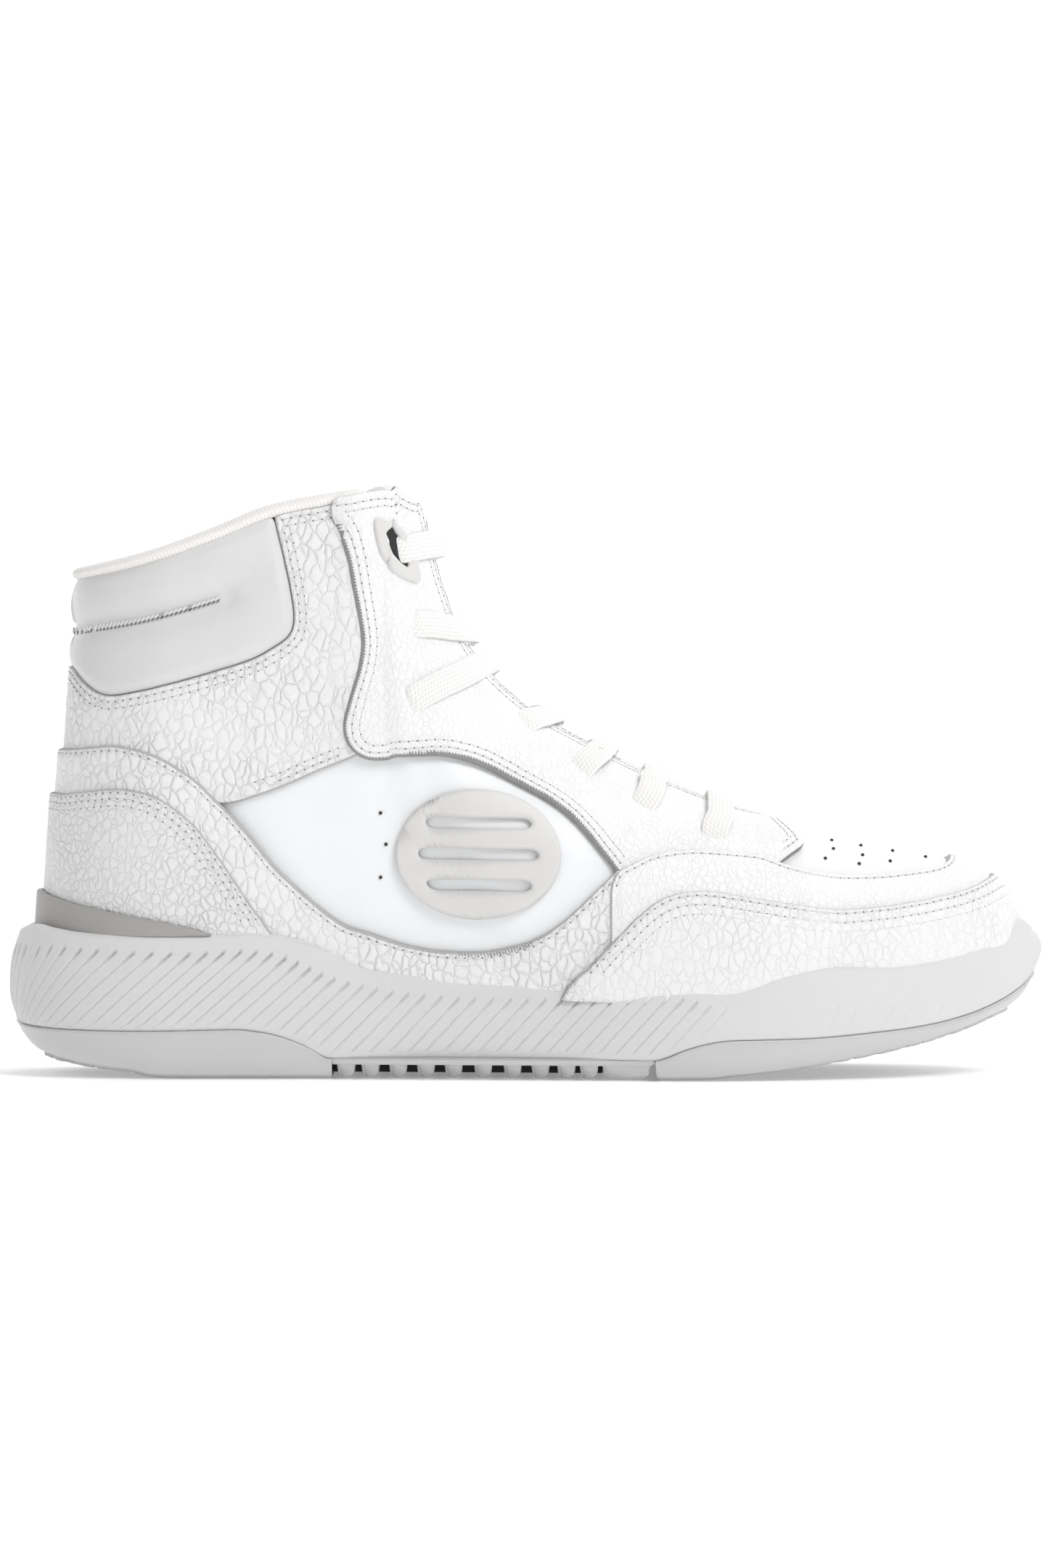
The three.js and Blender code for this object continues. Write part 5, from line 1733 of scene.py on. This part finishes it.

# %% [markdown]
# The lugs under the waist are rounded blocks, wider at the top, on a thin plate. The last one is a long
# block. A dark block set back behind them is painted shade for the gaps between the lugs.

# %% Waist tread


def block(x0, x1, z0, z1, spread, inset):
    """A block across the whole sole, with a lean on its ends and cut lower edges."""
    x = np.array([x0 - spread, x0 - spread * 0.3, x0 + 0.7, x1 - 0.7, x1 + spread * 0.3, x1 + spread])
    z = np.array([z1, z0 + 1.2, z0, z0, z0 + 1.2, z1])
    ys = np.interp(x, PLAN[:, 0], PLAN[:, 1])
    shift = inset + wall_inset(np.clip(z / 30, 0, 1)) * 0.8
    points = [(x[k], math.copysign(ys[k] - shift[k], side), z[k]) for side in (-1, 1) for k in range(6)]
    faces = [(k, k + 1, k + 7, k + 6) for k in range(5)]
    return points, faces + [(5, 0, 6, 11), tuple(range(5, -1, -1)), tuple(range(6, 12))]


lug_points, lug_faces = [], []
centres = [-52, -45, -37, -29, -21, -12.5, -4, 4, 11.5, 18]
blocks = [(c - 2.1, c + 2.1, 0.2, 6.2, 0.7) for c in centres]
blocks += [(22.4, 35.0, 0.2, 6.3, 0.8), (-57, 37, 4.4, 6.4, 0.0)]
for x0, x1, z0, z1, spread in blocks:
    made_points, made_faces = block(x0, x1, z0, z1, spread, 0.6)
    lug_faces += [tuple(len(lug_points) + v for v in face) for face in made_faces]
    lug_points += made_points
lugs = make_object("waist_lugs", put_right(np.array(lug_points)), lug_faces, [RUBBER], smooth=False)
faces_outward(lugs, bevel=0.45 * MM)
print("waist tread", len(lugs.data.polygons), "faces")
gap_shade_points, gap_shade_faces = block(-56.5, 22.5, z0=1.4, z1=5.8, spread=0.0, inset=16.0)
waist_gap_shade = make_object("waist_gap_painted_shade", put_right(np.array(gap_shade_points)), gap_shade_faces, [HOLE_SHADE],
                         smooth=False)
faces_outward(waist_gap_shade)

# %% [markdown]
# A grey moulded clip wraps the heel above the midsole. Its top edge stands a little proud.

# %% Heel clip
CLIP_TOP = curve(
    "-160 55.5 -145 54 -143 53.8 -140 52.5 -135 51 -130 49.8 -120 48 -110 46.2 -100 44.3 -92 42.8 -88 42"
)
CLIP_LOW_X = np.linspace(-89, -160, 30)
clip_shape = closed(CLIP_TOP, np.stack([CLIP_LOW_X, sole_top(CLIP_LOW_X) - 0.6], -1))
clip = panel("heel_grip", side(clip_shape), level(6.8), 1.6, [CLIP], rim=0.8,
             edge_rows=[0.15, 0.4, 0.8, 1.4])

# %% [markdown]
# Small perforations let air in at the toe box and in the window. Each is a dark spot of painted shade, sunk
# a little into the leather.

# %% Perforations
toe_holes = "87 63.8 89.5 66.3 88.7 68.5 96 61.9 97.5 64.5 97.2 67 106.3 62.8 106.7 65.4 116 63.5"
window_holes = "-41.5 76 -40 67.5 -42.5 59"


def holes_at(text):
    spots = []
    for x, z in np.array(text.split(), float).reshape(-1, 2):
        spots += both_sides(*at_point(x, z, 0.0), np.array([1.0, 0, 0]))
    return spots


perforation_shades = repeated("perforation_shades", holes_at(toe_holes) + holes_at(window_holes), hole_shade_tree,
                        length=1.05, width=1.05, lift=-0.34)

# %% [markdown]
# Inside lies the footbed: a foam insole with a cloth on top. It can be lifted out at the heel.

# %% Footbed


def bed(name, low, high, materials, inset=7.2):
    xs = np.linspace(-128, 121, 88)
    rows_of_points = []
    for x in xs:
        half = max(0.5, -at_point(x, feather_line(x), -inset)[0][1])
        across = np.linspace(-half, half, 15)
        dome = 1.2 * (across / half) ** 4
        rows_of_points.append([(x, y, feather_line(x) + high + d) for y, d in zip(across, dome)])
    rows_of_points = np.array(rows_of_points)
    under = rows_of_points.copy()
    under[..., 2] = feather_line(under[..., 0]) + low
    n, m = rows_of_points.shape[:2]
    points = np.vstack([rows_of_points.reshape(-1, 3), under.reshape(-1, 3)])
    faces = []
    for i in range(n - 1):
        for k in range(m - 1):
            a = i * m + k
            faces.append((a, a + m, a + m + 1, a + 1))
            faces.append((n * m + a, n * m + a + 1, n * m + a + m + 1, n * m + a + m))
    border = list(range(m)) + [i * m + m - 1 for i in range(1, n)]
    border += [(n - 1) * m + k for k in range(m - 2, -1, -1)] + [i * m for i in range(n - 2, 0, -1)]
    for a, b in zip(border, border[1:] + border[:1]):
        faces.append((a, b, n * m + b, n * m + a))
    print(name, len(faces), "faces")
    return faces_outward(make_object(name, put_right(points), faces, materials))


footbed = bed("footbed_foam", low=2.9, high=6.5, materials=[FOAM])
footbed_cloth = bed("footbed_cloth", low=6.8, high=7.9, materials=[LINING])

# %% [markdown]
# Every piece is attached to the body it goes with, and the design pieces it stands for are hidden. What stays
# hidden inside keeps its design shape and gets its material.

# %% Bodies and replaced pieces


def both(made, lateral, medial):
    return [(made[0], [lateral]), (made[1], [medial])]


pieces = [
    *both(shown["quarter"], "quarter_lateral", "quarter_medial"), (shown["toe_box"], ["toe_box"]),
    *both(ankle, "ankle_panel_lateral", "ankle_panel_medial"), (eyestay, ["eyestay"]),
    (overlay, ["heel_overlay"]),
    (cover, ["heel_counter_cover"]), (inner_guard, ["mudguard_inner"]), (outer_guard, ["mudguard_outer"]),
    (pad, ["collar_pad"]), *both(lining, "lining_lateral", "lining_medial"),
    (lining_front, ["lining_vamp"]),
    (binding, ["collar_binding"]), *((made, [f"lace_row_{k + 1}"]) for k, made in enumerate(lace_rows)),
    *both(cage, "lace_cage_lateral", "lace_cage_medial"),
    *both(vent, "vent_insert_lateral", "vent_insert_medial"),
    (midsole, ["midsole"]), (outsole_heel, ["outsole_heel"]), (outsole_toe, ["outsole_forefoot"]),
    (lugs, ["outsole_shank_tread"]), (clip, ["heel_clip"]), (stitches, []), (needle_shades, []),
    (perforation_shades, []), (channel_stitches, []), (channel_shadow, []),
    (loop_window_shade[0], []), (loop_window_shade[1], []), (waist_gap_shade, []),
]
for made, stands_for in pieces:
    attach(made, "shoe")
    if stands_for:
        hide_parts(*stands_for)
for made, stands_for in ((tongue_face, ["tongue_face", "tongue_foam"]), (tongue_back, ["tongue_lining"]),
                         (tongue_top, ["tongue_binding"])):
    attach(made, "tongue")
    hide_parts(*stands_for)
for made, stands_for in ((footbed, ["insole"]), (footbed_cloth, ["insole_top_cloth"])):
    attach(made, "insole")
    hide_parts(*stands_for)
hidden = {
    "eyestay_reinforcement_lateral": LINING, "eyestay_reinforcement_medial": LINING,
    "heel_stiffener": BOARD, "toe_stiffener": BOARD, "collar_foam": FOAM, "lasting_board": BOARD,
    "midsole_core": FOAM, "shank_plate": CLIP, "heel_cushion": FOAM,
}
for name, material in hidden.items():
    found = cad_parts[name]
    for node in found if isinstance(found, list) else [found]:
        node.data.materials.clear()
        node.data.materials.append(material)
print(len(pieces) + 5, "pieces placed")

# %% [markdown]
# A table lists the finished pieces under the design's material slots; the script does nothing further with it.

# %% Finish slots
SLOTS = {
    "pebbled_leather": [*ankle, overlay, cover, outer_guard, inner_guard, eyestay],
    "smooth_leather": [*shown["quarter"], shown["toe_box"]],
    "pad_leather": [pad, tongue_face], "knit": [binding, tongue_top], "lace": lace_rows,
    "lining_cloth": [*lining, lining_front, tongue_back, footbed_cloth],
    "trim_plastic": [*cage, *vent], "clip_plastic": [clip], "midsole_foam": [midsole],
    "outsole_rubber": [outsole_heel, outsole_toe, lugs],
    "foam": [footbed],
}
for slot_name, members in SLOTS.items():
    for member in members:
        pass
print(len(SLOTS), "slots")

# %% [markdown]
# A plain pale floor and backdrop, a large soft key from the upper right, a weaker fill from the left and a
# soft lamp overhead.

# %% Stage, lamps and camera
camera_data = bpy.data.cameras.new("camera")
camera_data.lens = 200  # a long lens, so the side is seen almost square on
camera = bpy.data.objects.new("camera", camera_data)
bpy.context.collection.objects.link(camera)
LOOK_DOWN = math.radians(1.3)
DISTANCE = 2.519
camera.location = (-0.00115, -0.03 - DISTANCE * math.cos(LOOK_DOWN), 0.085 + DISTANCE * math.sin(LOOK_DOWN))
camera.rotation_euler = (math.pi / 2 - LOOK_DOWN, 0, 0)
bpy.context.scene.camera = camera
floor_corners = np.array([[-9, -9, 0], [9, -9, 0], [9, 9, 0], [-9, 9, 0.0]])
floor = make_object("floor", floor_corners, [(0, 1, 2, 3)], [])
floor_sheet = Sheet("studio_floor")
pale = floor_sheet.finish((0.95, 0.95, 0.95, 1), 0.9, Emission_Color=(1, 1, 1, 1), Emission_Strength=0.22)
floor.data.materials.append(pale)
for name, place, size, power in (
    ("key", (0.9, -1.2, 1.5), 0.8, 18), ("fill", (-1.5, -1.1, 0.8), 1.2, 0.6),
    ("top", (0.3, 0.3, 1.8), 1.3, 9),
):
    lamp_data = bpy.data.lights.new(name, "AREA")
    lamp_data.size = size
    lamp_data.energy = power
    lamp = bpy.data.objects.new(name, lamp_data)
    lamp.location = place
    lamp.rotation_euler = (Vector((0, 0, 0.08)) - Vector(place)).to_track_quat("-Z", "Y").to_euler()
    bpy.context.collection.objects.link(lamp)
world = bpy.data.worlds.new("studio")
bpy.context.scene.world = world
world.use_nodes = True
world.node_tree.nodes["Background"].inputs["Color"].default_value = (1, 1, 1, 1)
world.node_tree.nodes["Background"].inputs["Strength"].default_value = 0.40
bpy.context.scene.view_settings.view_transform = "Standard"

wall_sheet = Sheet("studio_wall")
white = wall_sheet.finish((1, 1, 1, 1), 1.0, Emission_Color=(1, 1, 1, 1), Emission_Strength=0.6)
wall_corners = np.array([[-9, 4, -0.1], [9, 4, -0.1], [9, 4, 9], [-9, 4, 9.0]])
wall = make_object("backdrop", wall_corners, [(0, 1, 2, 3)], [white])
